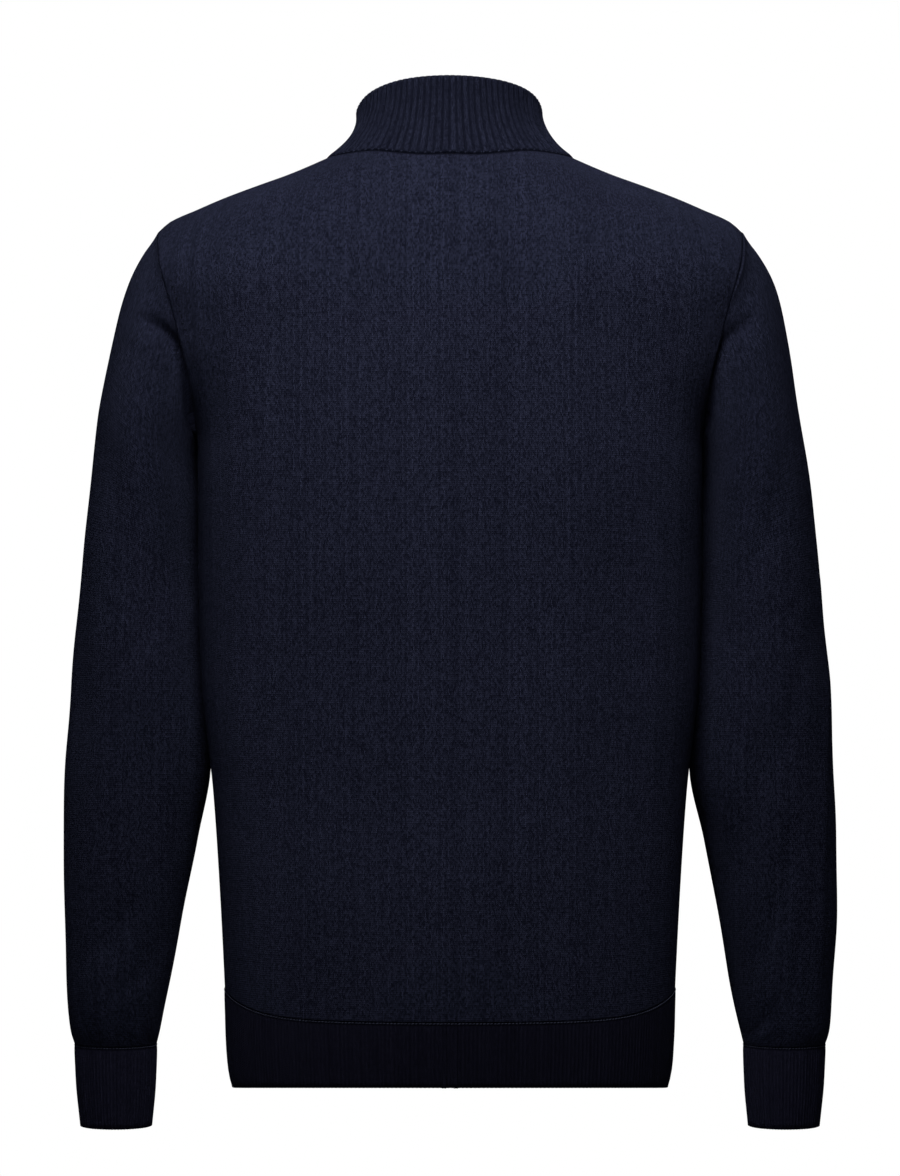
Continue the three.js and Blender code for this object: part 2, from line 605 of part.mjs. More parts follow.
// The collar, from the zip on the wearer's left round the back of the neck to the zip on the right.
const topRow = LOWER_ROWS + UPPER_ROWS;
const neckPlaces = [];
const neckAngles = [];
for (let i = 0; i < NECK_LINES; i++) {
  neckPlaces.push(placeOn(panels.front, topRow, CENTRE_LINE + i));
  neckAngles.push(Math.PI - Math.asin(topX(HALF_LINES[i]) / NECK.half));
}
const leftHigh = [panels.back, panels.front].map((panel) => placeOn(panel, topRow, NECK_LINE));
neckPlaces.push(between(...leftHigh));
neckAngles.push(Math.PI / 2);
for (let i = NECK_LINES - 1; i >= 0; i--) {
  neckPlaces.push(placeOn(panels.back, topRow, CENTRE_LINE + i));
  neckAngles.push(Math.asin(topX(HALF_LINES[i]) / NECK.half));
}
const mirrorLine = (line) => LINES.length - 1 - line;
for (let i = 0; i < NECK_LINES; i++) {
  neckPlaces.push(placeOn(panels.back, topRow, mirrorLine(CENTRE_LINE + i)));
  neckAngles.push(-Math.asin(topX(HALF_LINES[i]) / NECK.half));
}
const rightHigh = [panels.back, panels.front].map((panel) => placeOn(panel, topRow, mirrorLine(NECK_LINE)));
neckPlaces.push(between(...rightHigh));
neckAngles.push(-Math.PI / 2);
for (let i = NECK_LINES - 1; i >= 0; i--) {
  neckPlaces.push(placeOn(panels.front, topRow, mirrorLine(CENTRE_LINE + i)));
  neckAngles.push(Math.asin(topX(HALF_LINES[i]) / NECK.half) - Math.PI);
}
const neckSeam = acrossSeam(neckPlaces);
// The collar's edges at the zip stay upright, so the rim spans a little less of its own round.
const rimShare = (Math.PI - Math.asin(SLIT_HALF / RIM.half)) / (Math.PI - slitAngle);

function rimPoint(angle) {
  const forth = Math.cos(angle);
  const y = RIM.midY + (forth > 0 ? RIM.back : RIM.front) * forth;
  return vec(RIM.half * Math.sin(angle), y, RIM.midZ + RIM.tilt * forth + RIM.dip * forth * forth);
}

const collarRows = COLLAR_ROWS.map((up) =>
  neckSeam.map((place, c) => {
    const rim = rimPoint(neckAngles[c] * rimShare);
    const turned = 1 - (1 - up) ** COLLAR_CURVE;
    const [x, y] = [lerp(place.out.x, rim.x, turned), lerp(place.out.y, rim.y, turned)];
    return vec(x, y, lerp(place.out.z, rim.z, up));
  }),
);
const collarOut = normals(collarRows, 1);
collarOut[0] = neckSeam.map((place) => place.direction);
const collarIn = moved(collarRows, collarOut, -CLOTH.wall);
collarIn[0] = neckSeam.map((place) => place.back);
const collar = {
  outer: collarRows, directions: collarOut, inner: collarIn, ribs: RIBS.collar, relief: RELIEF.collar,
};
addPiece("collar", ribbedWall(collar), RIB);

// The zip's tapes, from the front's and the collar's own points moved in behind them. Each row has the
// tape's inner edge, the cloth's edge and the tape's outer edge.
const tapeDepth = CLOTH.wall + ZIP.tapeClear;
function tapeRow(edgePoint, edgeOut, nextPoint, nextOut, side) {
  const t = (ZIP.tapeEdge - SLIT_HALF) / (Math.abs(nextPoint.x) - SLIT_HALF);
  const points = [
    vec(side * ZIP.toothGap, edgePoint.y, edgePoint.z),
    edgePoint.clone(),
    edgePoint.clone().lerp(nextPoint, t),
  ];
  const flat = edgeOut.clone().setX(0).normalize();
  const out = [flat, edgeOut.clone(), edgeOut.clone().lerp(nextOut, t).normalize()];
  return { points, out };
}
const mixRows = (a, b, t) => ({
  points: a.points.map((point, i) => point.clone().lerp(b.points[i], t)),
  out: a.out.map((direction, i) => direction.clone().lerp(b.out[i], t).normalize()),
});

function zipTape(side) {
  const { outer, directions } = panels.front;
  const line = side > 0 ? CENTRE_LINE : CENTRE_LINE - 1;
  const rows = [];
  for (let r = LOWER_ROWS - 1; r <= topRow; r++) {
    const next = line + side;
    rows.push(tapeRow(outer[r][line], directions[r][line], outer[r][next], directions[r][next], side));
  }
  const first = side > 0 ? 0 : neckPlaces.length - 1;
  for (let r = 1; r < COLLAR_ROWS.length; r++) {
    const next = first + side;
    const [row, out] = [collarRows[r], collarOut[r]];
    rows.push(tapeRow(row[first], out[first], row[next], out[next], side));
  }
  const below = ZIP.belowSlit / (rows[1].points[0].z - rows[0].points[0].z);
  rows[0] = mixRows(rows[1], rows[0], below);
  const end = rows.length - 1;
  rows[end] = mixRows(rows[end - 1], rows[end], 0.95);
  const points = rows.map((row) => row.points);
  const out = rows.map((row) => row.out);
  const outer2 = moved(points, out, -tapeDepth);
  const inner2 = moved(points, out, -tapeDepth - ZIP.tapeThick);
  return { geometry: wall({ outer: outer2, inner: inner2 }), outer: outer2, inner: inner2 };
}

const tapes = { left: zipTape(1), right: zipTape(-1) };
addPiece("zip_tape_left", tapes.left.geometry, TAPE);
addPiece("zip_tape_right", tapes.right.geometry, TAPE);

// The middle of the tapes' thickness at a height, and how far the zip leans there.
function zipPlane(z) {
  const middle = tapes.left.outer.map((row, r) => row[0].clone().lerp(tapes.left.inner[r][0], 0.5));
  let r = 0;
  while (r < middle.length - 2 && z > middle[r + 1].z) r++;
  const [low, high] = [middle[r], middle[r + 1]];
  const t = (z - low.z) / (high.z - low.z);
  return { y: lerp(low.y, high.y, t), lean: -Math.atan2(high.y - low.y, high.z - low.z) };
}

const wasm = await Module();
wasm.setup();

// A closed geometry as a solid that can be joined and cut, and back.
function solid(geometry) {
  const bare = geometry.clone();
  bare.deleteAttribute("normal");
  bare.deleteAttribute("uv");
  const merged = mergeVertices(bare, 1e-4);
  return new wasm.Manifold(
    new wasm.Mesh({
      numProp: 3,
      vertProperties: new Float32Array(merged.attributes.position.array),
      triVerts: new Uint32Array(merged.index.array),
    }),
  );
}
function geometryOf(body) {
  const mesh = body.getMesh();
  const geometry = new THREE.BufferGeometry();
  geometry.setAttribute("position", new THREE.BufferAttribute(mesh.vertProperties, 3));
  geometry.setIndex(new THREE.BufferAttribute(mesh.triVerts, 1));
  geometry.computeVertexNormals();
  return geometry;
}
const block = (x, y, z, at) => new THREE.BoxGeometry(x, y, z).translate(at.x, at.y, at.z);

// An outline in X and Z, given a thickness along Y about y = 0.
function cutFromPlate(shape, thick) {
  const plate = new THREE.ExtrudeGeometry(shape, { depth: thick, bevelEnabled: false, curveSegments: 5 });
  return plate.translate(0, 0, -thick / 2).rotateX(Math.PI / 2);
}

// The slider, in its own frame: the zip's plane is y = 0 and its front is -Y. Two plates ride on the
// teeth, a post parts the tapes at its mouth, and a bridge on the front plate holds the tab.
const bridgeOut = SLIDER.half + BRIDGE.axisOut + BRIDGE.below + BRIDGE.thick;
const tabAxis = { y: -(SLIDER.half + BRIDGE.axisOut), z: 1.4 };

function sliderBody() {
  const half = SLIDER.long / 2;
  const outline = new THREE.Shape();
  outline.moveTo(-SLIDER.narrow / 2, -half);
  outline.lineTo(SLIDER.narrow / 2, -half);
  outline.lineTo(SLIDER.wide / 2, half - SLIDER.wedge);
  outline.quadraticCurveTo(SLIDER.wide / 2, half, SLIDER.wide / 4, half);
  outline.lineTo(-SLIDER.wide / 4, half);
  outline.quadraticCurveTo(-SLIDER.wide / 2, half, -SLIDER.wide / 2, half - SLIDER.wedge);
  outline.closePath();
  const centre = vec(0, 0, 0);
  const [across, deep] = [SLIDER.narrow - 2 * SLIDER.flange, 2 * (SLIDER.half - SLIDER.plate)];
  const channel = block(across, deep, SLIDER.long + 2, centre);
  const tapeSlot = ZIP.tapeThick + 2 * CLOTH.seamGap;
  const slot = block(SLIDER.wide + 2, tapeSlot, SLIDER.long + 2, centre);
  const postAt = vec(0, 0, half - SLIDER.postLong / 2);
  const post = block(SLIDER.post, 2 * SLIDER.half - SLIDER.plate, SLIDER.postLong, postAt);
  const plates = solid(cutFromPlate(outline, 2 * SLIDER.half)).subtract(solid(channel)).subtract(solid(slot));
  return plates.add(solid(post)).add(solid(bridge()));
}

// The bridge: an arch over the tab's bar, drawn from the side.
function bridge() {
  const low = tabAxis.z - BRIDGE.below - BRIDGE.leg;
  const high = tabAxis.z + BRIDGE.above + BRIDGE.leg;
  const foot = SLIDER.half - SLIDER.plate / 2;
  const arch = new THREE.Shape();
  arch.moveTo(low, foot);
  arch.lineTo(low, bridgeOut - BRIDGE.leg);
  arch.quadraticCurveTo(low, bridgeOut, low + BRIDGE.leg, bridgeOut);
  arch.lineTo(high - BRIDGE.leg, bridgeOut);
  arch.quadraticCurveTo(high, bridgeOut, high, bridgeOut - BRIDGE.leg);
  arch.lineTo(high, foot);
  arch.lineTo(high - BRIDGE.leg, foot);
  arch.lineTo(high - BRIDGE.leg, bridgeOut - BRIDGE.thick);
  arch.lineTo(low + BRIDGE.leg, bridgeOut - BRIDGE.thick);
  arch.lineTo(low + BRIDGE.leg, foot);
  arch.closePath();
  const extrusion = { depth: 2 * BRIDGE.half, bevelEnabled: false, curveSegments: 4 };
  const body = new THREE.ExtrudeGeometry(arch, extrusion);
  // The drawing's first axis is up and its second one is out of the slider.
  const turn = new THREE.Matrix4().makeBasis(vec(0, 0, 1), vec(0, -1, 0), vec(1, 0, 0));
  return body.translate(0, 0, -BRIDGE.half).applyMatrix4(turn);
}

// The tab, with its bar on the axis: two arms past the bridge, then a plain rounded plate.
function pullTab() {
  const outline = new THREE.Shape();
  outline.moveTo(-TAB.half, 0);
  outline.lineTo(-TAB.half, -TAB.windowTo);
  outline.lineTo(-TAB.endHalf, -TAB.long + TAB.round);
  outline.quadraticCurveTo(-TAB.endHalf, -TAB.long, -TAB.endHalf + TAB.round, -TAB.long);
  outline.lineTo(TAB.endHalf - TAB.round, -TAB.long);
  outline.quadraticCurveTo(TAB.endHalf, -TAB.long, TAB.endHalf, -TAB.long + TAB.round);
  outline.lineTo(TAB.half, -TAB.windowTo);
  outline.lineTo(TAB.half, 0);
  outline.lineTo(TAB.armIn, 0);
  outline.lineTo(TAB.armIn, -TAB.windowTo);
  outline.lineTo(-TAB.armIn, -TAB.windowTo);
  outline.lineTo(-TAB.armIn, 0);
  outline.closePath();
  const bar = new THREE.CylinderGeometry(TAB.bar, TAB.bar, 2 * TAB.half, 12).rotateZ(Math.PI / 2);
  return solid(cutFromPlate(outline, TAB.thick)).add(solid(bar));
}

const slide = zipPlane(ZIP.sliderZ);
const slider = new THREE.Group();
slider.position.set(0, slide.y, ZIP.sliderZ);
slider.rotation.x = slide.lean;
group.add(slider);
addPiece("zip_slider", geometryOf(sliderBody()), METAL, slider);

// The tab hangs straight down from its axis, whatever the slider's lean.
slider.updateMatrixWorld(true);
const hinge = slider.localToWorld(vec(0, tabAxis.y, tabAxis.z));
addPiece("zip_pull_tab", geometryOf(pullTab()), METAL).position.copy(hinge);

// The stops, each 0.3 mm in front of the tapes.
function stop(name, x, z, wide, long) {
  const { y, lean } = zipPlane(z);
  const out = ZIP.tapeThick / 2 + CLOTH.seamGap + STOP.thick / 2;
  const piece = addPiece(name, new THREE.BoxGeometry(wide, STOP.thick, long), METAL);
  piece.rotation.x = lean;
  piece.position.set(x, y, z).add(vec(0, -out, 0).applyEuler(piece.rotation));
}
const stopX = ZIP.toothGap + STOP.wide / 2;
stop("zip_top_stop_left", stopX, ZIP.topStopZ, STOP.wide, STOP.long);
stop("zip_top_stop_right", -stopX, ZIP.topStopZ, STOP.wide, STOP.long);
stop("zip_bottom_stop", 0, ZIP.bottomStopZ, STOP.bottomWide, STOP.bottomLong);

export default group;
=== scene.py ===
import math

import bmesh
import bpy
import numpy as np
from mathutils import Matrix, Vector


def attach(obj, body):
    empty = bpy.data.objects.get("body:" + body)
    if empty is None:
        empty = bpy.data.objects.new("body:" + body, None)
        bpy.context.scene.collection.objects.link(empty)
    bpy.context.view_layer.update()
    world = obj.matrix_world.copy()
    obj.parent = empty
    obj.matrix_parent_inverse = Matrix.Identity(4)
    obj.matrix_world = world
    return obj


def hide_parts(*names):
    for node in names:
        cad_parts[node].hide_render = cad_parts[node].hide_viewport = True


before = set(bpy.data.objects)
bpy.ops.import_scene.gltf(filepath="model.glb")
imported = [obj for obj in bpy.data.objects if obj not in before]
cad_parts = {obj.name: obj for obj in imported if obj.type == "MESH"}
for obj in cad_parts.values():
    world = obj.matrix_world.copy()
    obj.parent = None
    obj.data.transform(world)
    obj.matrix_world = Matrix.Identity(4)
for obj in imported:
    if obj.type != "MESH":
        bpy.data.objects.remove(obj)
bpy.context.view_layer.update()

# Sizes are in millimetres until a mesh is made. +Z is up, the sweater faces -Y, +X is the wearer's left.
MM = 0.001
WALL = 1.8
SEAM_GAP = 0.3

BODY_Z = (-697, -655, -620, -547, -475, -387, -303, -215, -130, -60, 30)
BODY_HALF = (165.5, 167.2, 168.7, 172.5, 177.5, 187, 189, 189, 204, 218, 218)
BACK_DEPTH = (112, 116, 117, 115, 111, 110, 114, 119, 119, 116, 113)
FRONT_DEPTH = (113, 117, 119, 121, 122, 124, 128, 133, 131, 124, 122)
BODY_MID_Y = (-3, -3, -3, -4, -6, -8, -10, -11, -10, -9, -9)
SECTION_Z, SECTION_POWER = (-460, -330, -215, -139), (2.3, 2.5, 2.9, 2.3)
LINE_POWER = 2.3
SHOULDER_X = (0, 50, 92, 120, 145, 169, 190, 210, 218.5)
SHOULDER_Z = (28, 20, 0, -12, -21, -30, -39, -48, -55.5)
ARMHOLE_Z = (-215, -190, -165, -139, -112, -80, -55.5)
ARMHOLE_X = (189, 189.8, 193, 199.5, 206.5, 215.5, 218.5)
ARMHOLE_REACH, ARMHOLE_FULL_Z, ARMHOLE_BLUNT = 68, -139, 0.6
UNDERARM_Z, POINT_X, POINT_Z = -215, 218.5, -55.5
NECK_HALF, SLIT_HALF = 92, 6
HEM_SEAM_Z, HEM_SIDE_LIFT, HEM_LIFT_POWER, HEM_EDGE_Z, HEM_BACK_RISE = -638.5, 16, 8, -697, 0.107
RIM_HALF, RIM_MID_Y, RIM_BACK, RIM_FRONT, RIM_MID_Z, RIM_TILT, RIM_DIP = 69, -13, 63, 64, 32.9, 31, -8.0
COLLAR_CURVE = 2.3

SLEEVE_OUT_X = (218.5, 222.5, 229.5, 238, 245.5, 251.5, 257, 262, 266.5, 271, 275.5, 280, 285, 288.3, 289.5,
                289.3, 287, 284.3, 281)
SLEEVE_OUT_Z = (-55.5, -61.5, -71.5, -88, -109, -131, -156, -186, -219, -255, -298, -348, -400, -455, -511,
                -565, -620, -653, -664.5)
SLEEVE_IN_X = (189, 188, 187.2, 187.1, 187.1, 187.1, 187, 186.4, 186, 185.8, 185.4, 184.2, 181.2, 179.6, 189.6,
               200.6, 210.6, 217.2, 220)
SLEEVE_IN_Y = (0, 0, -1, -3, -5, -7, -8, -9, -9, -8, -6, -3, 0, 0, 0, 0, 0, 0, 0)
SLEEVE_IN_Z = (-215, -213.6, -217, -221, -226, -232, -240, -252, -268, -288, -314, -352, -400, -455, -511,
               -565, -620, -653, -664.5)
SLEEVE_HALF_Y = (59.5, 60.5, 62, 65, 68.5, 71, 72.5, 72.5, 70.5, 67.5, 64.5, 61, 57.5, 53.5, 49.5, 45.5, 41, 36,
                 32.5)
SLEEVE_MID_Y = (-9, -9, -9.5, -10, -11, -12, -14, -16, -18, -20.5, -23, -26, -30, -34, -39, -44.5, -50.5, -54.5,
                -56)
ARMHOLE_FADE, ARM_NEARER, SIGHT_Z = 6, 3000, -322
CUFF_X, CUFF_Z, CUFF_HALF_X, CUFF_HALF_Y, CUFF_MID_Y = 254.4, -732.0, 26.8, 28, -61

# The knit: how far apart the wales and the courses lie, and the ribs of each band.
WALE, COURSE = 1.75, 1.55
COLLAR_RIBS, HEM_RIBS, CUFF_RIBS = 92, 156, 72
COLLAR_RELIEF, HEM_RELIEF, CUFF_RELIEF = 1.3, 0.5, 0.6

ZIP_TEETH_LOW, ZIP_TEETH_HIGH, TOOTH_PITCH = -209, -21, 2.4
TAPE_INNER, TAPE_OUTER, TAPE_CLEAR, TAPE_THICK, TAPE_LOW_Z = 1.3, 14.5, 0.7, 1.0, -225

# Soft troughs pressed into the cloth, and ridges where the depth is negative. Each follows points seen
# from behind or from the front, with the half of its width and its depth.
BODY_FOLDS = {
    "back": (
        (((-134, -235), (-133, -340), (-131, -455)), 18, 4.4),
        (((141, -330), (140, -466), (138, -560)), 17, 4.2),
        (((178, -165), (158, -240), (128, -330)), 18, 2.6),
        (((-180, -175), (-168, -220), (-150, -270)), 16, 2.2),
        (((150, -540), (158, -615)), 12, 3.4),
        (((173, -545), (167, -572), (164, -608)), 3.5, 3.0),
        (((181, -150), (179, -230), (172, -330)), 8, -1.6),
        (((-181, -232), (-178, -318), (-168, -405)), 7, 1.5),
        (((62, -45), (84, -84), (120, -128)), 9, 1.1),
        (((-58, -48), (-86, -92), (-128, -122)), 10, 1.1),
        (((-176, -470), (-160, -520), (-152, -588)), 8, 1.5),
        (((36, -470), (52, -540), (58, -612)), 16, 1.0),
        (((-66, -500), (-74, -560), (-72, -620)), 15, 1.2),
        (((-20, -150), (-26, -250), (-18, -340)), 26, 1.2),
    ),
    "front": (
        (((172, -180), (146, -250), (108, -335)), 19, 4),
        (((-168, -190), (-146, -250), (-112, -320)), 18, 3.6),
        (((118, -380), (126, -575)), 17, 2.8),
        (((-128, -350), (-120, -600)), 18, 2.8),
        (((22, -226), (46, -262), (88, -300)), 9, 1.8),
        (((-20, -230), (-44, -272), (-80, -318)), 10, 1.6),
        (((178, -232), (172, -320), (164, -392)), 7, 1.8),
        (((-180, -228), (-174, -306), (-160, -380)), 7, 1.7),
        (((40, -440), (62, -520), (66, -610)), 15, 1.8),
        (((-56, -452), (-70, -540), (-66, -612)), 14, 1.7),
        (((110, -60), (128, -108), (150, -150)), 10, 1.2),
        (((-112, -62), (-130, -112), (-152, -150)), 10, 1.1),
    ),
}
SLEEVE_FOLDS = {
    ("left", "back"): (
        (((206, -200), (199, -330)), 10, 3),
        (((231, -417), (227, -480), (223, -545)), 14, 4),
        (((226, -125), (214, -130), (206, -139), (198.5, -152), (193, -172), (189.5, -204)), 4.2, 8.6),
        (((236, -136), (222, -144), (210, -158)), 7, -1.6),
        (((262, -598), (264, -640), (263, -662)), 2.4, -2.2),
        (((225, -598), (228, -638), (226, -662)), 2.6, -2.2),
        (((258, -205), (246, -262), (238, -330)), 10, 1.8),
        (((272, -300), (276, -388), (270, -470)), 7, 1.3),
        (((212, -300), (222, -352), (248, -384)), 8, 1.8),
        (((240, -560), (256, -592), (270, -600)), 7, 1.7),
        (((214, -582), (230, -612), (250, -628)), 6, 1.7),
    ),
    ("left", "front"): (
        (((214, -395), (258, -455)), 12, 4),
        (((226, -490), (262, -560)), 12, 3.5),
        (((214, -132), (204, -160), (197, -205)), 5, 2.4),
        (((206, -330), (240, -364), (272, -378)), 8, 2.2),
        (((232, -590), (254, -620), (274, -628)), 6, 2.0),
        (((254, -200), (250, -280), (262, -350)), 10, 1.8),
    ),
    ("right", "back"): (
        (((277.1, -318), (282.4, -364), (283.9, -390), (280.9, -470), (279.4, -533), (278.6, -596),
          (277.9, -631), (278.6, -664)), 4, -2.4),
        (((238, -425), (226, -485), (214, -545)), 12, 3.6),
        (((258, -505), (247, -556), (236, -605)), 11, 3.2),
        (((244, -636), (236, -650), (227, -661)), 4, 1.8),
        (((222, -126), (210, -134), (200, -146), (193, -168), (190, -202)), 4.4, 5.6),
        (((232, -142), (218, -152), (208, -166)), 8, -1.4),
        (((252, -210), (240, -270), (216, -330)), 10, 1.7),
        (((270, -352), (254, -420), (244, -452)), 7, 1.5),
        (((268, -560), (262, -600), (258, -640)), 6, 1.6),
        (((208, -340), (216, -380), (238, -402)), 8, 1.6),
    ),
    ("right", "front"): (
        (((212, -410), (252, -480)), 12, 4),
        (((230, -515), (264, -585)), 12, 3.2),
        (((213, -130), (203, -158), (196, -206)), 5, 2.4),
        (((205, -345), (242, -372), (270, -392)), 8, 2.1),
        (((236, -604), (256, -628), (272, -640)), 6, 1.9),
        (((256, -190), (252, -262), (266, -330)), 10, 1.6),
    ),
}

# The gap colours are painted shade between the stitches and the ribs: each knit's colour is mixed towards its gap
# colour where it lies low, and by its random tone.
KNIT_FACE, KNIT_GAP_SHADE = (0.0075, 0.0084, 0.0160, 1), (0.0010, 0.0011, 0.0025, 1)
RIB_FACE, RIB_GAP_SHADE = (0.0068, 0.0077, 0.0146, 1), (0.0008, 0.0009, 0.0021, 1)
# The hem band's face colour is darker than the body's: partly its rib texture, partly painted shade of its rib gaps.
BAND_FACE, BAND_GAP_SHADE = (0.0049, 0.0048, 0.0094, 1), (0.0008, 0.0008, 0.0017, 1)
CUFF_FACE = (0.0084, 0.0084, 0.0168, 1)


def follow(at, value):
    """A smooth curve through a table's rows, which never swings past them."""
    x, y = np.array(at, float), np.array(value, float)
    step = np.diff(x)
    chord = np.diff(y) / step
    product, total = chord[:-1] * chord[1:], chord[:-1] + chord[1:]
    bend = np.where(product > 0, 2 * product / np.where(total == 0, 1, total), 0)
    slope = np.concatenate([chord[:1], bend, chord[-1:]])

    def curve(place):
        here = np.clip(place, x[0], x[-1])
        i = np.clip(np.searchsorted(x, here, side="right") - 1, 0, len(step) - 1)
        t = (here - x[i]) / step[i]
        start = (1 + 2 * t) * (1 - t) ** 2 * y[i] + t * (1 - t) ** 2 * step[i] * slope[i]
        return start + t * t * (3 - 2 * t) * y[i + 1] + t * t * (t - 1) * step[i] * slope[i + 1]

    return curve


def mix(a, b, t):
    return a + (b - a) * t


def ease(t):
    """From 0 to 1, soft at both ends."""
    t = np.clip(t, 0, 1)
    return t * t * (3 - 2 * t)


half_width, mid_y = follow(BODY_Z, BODY_HALF), follow(BODY_Z, BODY_MID_Y)
section_power = follow(SECTION_Z, SECTION_POWER)
crest_z, armhole_x = follow(SHOULDER_X, SHOULDER_Z), follow(ARMHOLE_Z, ARMHOLE_X)
FACES = {
    "back": dict(sign=1, depth=follow(BODY_Z, BACK_DEPTH), neck=71, knee=-110, rise=2, round=2),
    "front": dict(sign=-1, depth=follow(BODY_Z, FRONT_DEPTH), neck=77, knee=-270, rise=1.68, round=1.6),
}


def press(folds, x, z):
    """How deep the folds press in at places seen from behind or in front."""
    x, z = np.broadcast_arrays(np.asarray(x, float), np.asarray(z, float))
    total = np.zeros(x.shape)
    for points, width, depth in folds:
        line = np.array(points, float)
        legs = np.diff(line, axis=0)
        lengths = np.hypot(legs[:, 0], legs[:, 1])
        reach = np.concatenate([[0], np.cumsum(lengths)])
        nearest, along = np.full(x.shape, 1e9), np.zeros(x.shape)
        for start, leg, length, before in zip(line, legs, lengths, reach):
            t = np.clip(((x - start[0]) * leg[0] + (z - start[1]) * leg[1]) / length**2, 0, 1)
            off = np.hypot(x - start[0] - t * leg[0], z - start[1] - t * leg[1])
            along = np.where(off < nearest, (before + t * length) / reach[-1], along)
            nearest = np.minimum(nearest, off)
        ends = 0.35 + 0.65 * np.sin(np.pi * along) ** 0.6
        total += depth * ends * np.exp(-((nearest / width) ** 2))
    return total


def drift(x, z, turn=0.0):
    """The slow unevenness of cloth that nothing holds flat."""
    waves = ((0.031, 0.017, 0.9, 0.55), (-0.022, 0.028, 2.1, 0.5), (0.052, -0.012, 4.0, 0.3), (0.013, 0.049, 5.2, 0.35))
    return sum(size * np.sin(a * x + b * z + phase + turn) for a, b, phase, size in waves)


def edge_x(z):
    return np.where(z < UNDERARM_Z, half_width(z), armhole_x(z))


def armhole_reach(z):
    t = np.clip((z - ARMHOLE_FULL_Z) / (UNDERARM_Z - ARMHOLE_FULL_Z), 0, 1)
    return ARMHOLE_REACH * (1 - t * t) ** ARMHOLE_BLUNT


def section_depth(face, x, z):
    depth, power = face["depth"](z), section_power(z)
    hull = edge_x(z) / (1 - (armhole_reach(z) / depth) ** power) ** (1 / power)
    across = np.minimum(1, np.abs(x) / hull)
    return depth * (1 - across**power) ** (1 / power)


def shoulder_fall(face, x, z):
    up = np.clip((z - face["knee"]) / (crest_z(np.abs(x)) - face["knee"]), 0, 1)
    return (1 - up ** face["rise"]) ** (1 / face["round"])


def bare_depth(face, x, z):
    return SEAM_GAP / 2 + section_depth(face, x, z) * shoulder_fall(face, x, z)


def body_points(name, x, z):
    """Points on the outside of a panel, with its folds."""
    face = FACES[name]
    flat = 1 - np.minimum(1, np.abs(x) / edge_x(z)) ** 4
    high = np.clip((crest_z(np.abs(x)) - z) / 40, 0, 1)
    fold = press(BODY_FOLDS[name], x, z) + high * drift(x, z, face["sign"])
    out = bare_depth(face, x, z) - flat * fold
    return np.stack([x, mid_y(z) + face["sign"] * out, z], -1)


def neck_z(face, x):
    """The height of the neck seam, where the panel's surface meets the neck's outline."""
    depth = face["neck"] * np.sqrt(np.maximum(0, 1 - (x / NECK_HALF) ** 2))
    z = np.zeros(np.shape(x))
    for _ in range(24):
        share = np.minimum(1, depth / section_depth(face, x, z))
        up = (1 - share ** face["round"]) ** (1 / face["rise"])
        z = face["knee"] + up * (crest_z(np.abs(x)) - face["knee"])
    return z


SLIT_ANGLE = math.asin(SLIT_HALF / NECK_HALF)


def top_x(share):
    neck = NECK_HALF * np.sin(mix(SLIT_ANGLE, math.pi / 2, np.minimum(share, 0.5) / 0.5))
    return np.where(share <= 0.5, neck, mix(NECK_HALF, POINT_X, (share - 0.5) / 0.5))


def level_x(share, edge):
    return np.where(share == 0, SLIT_HALF, edge * np.sin(share * math.pi / 2) ** (2 / LINE_POWER))


def hem_seam_z(share):
    return HEM_SEAM_Z + HEM_SIDE_LIFT * (np.sin(share * math.pi / 2) ** (2 / LINE_POWER)) ** HEM_LIFT_POWER


def directions(rows, centre, round_tube=False):
    """The outward direction at each point of a sheet: away from `centre`, which is a point or one per row."""
    if round_tube:
        along = np.roll(rows, -1, 1) - np.roll(rows, 1, 1)
    else:
        along = np.gradient(rows, axis=1)
    out = np.cross(along, np.gradient(rows, axis=0))
    out /= np.maximum(np.linalg.norm(out, axis=-1, keepdims=True), 1e-9)
    return out * np.sign(np.sum(out * (rows - centre)))


def sheet_faces(rows, columns, round_tube=False, missing=None):
    """The quads of a grid of points, without the cells that `missing` names."""
    r = np.arange(rows - 1)[:, None]
    c = np.arange(columns if round_tube else columns - 1)[None, :]
    a, b = r * columns + c, r * columns + (c + 1) % columns
    quads = np.stack([a, b, b + columns, a + columns], -1)
    if missing is not None:
        quads = quads[~missing(r, c)]
    return quads.reshape(-1, 4)


def bare_object(name, points, faces, material=None):
    mesh = bpy.data.meshes.new(name)
    mesh.from_pydata((np.asarray(points) * MM).tolist(), [], np.asarray(faces).tolist())
    if material:
        mesh.materials.append(material)
    piece = bpy.data.objects.new(name, mesh)
    bpy.context.scene.collection.objects.link(piece)
    return piece


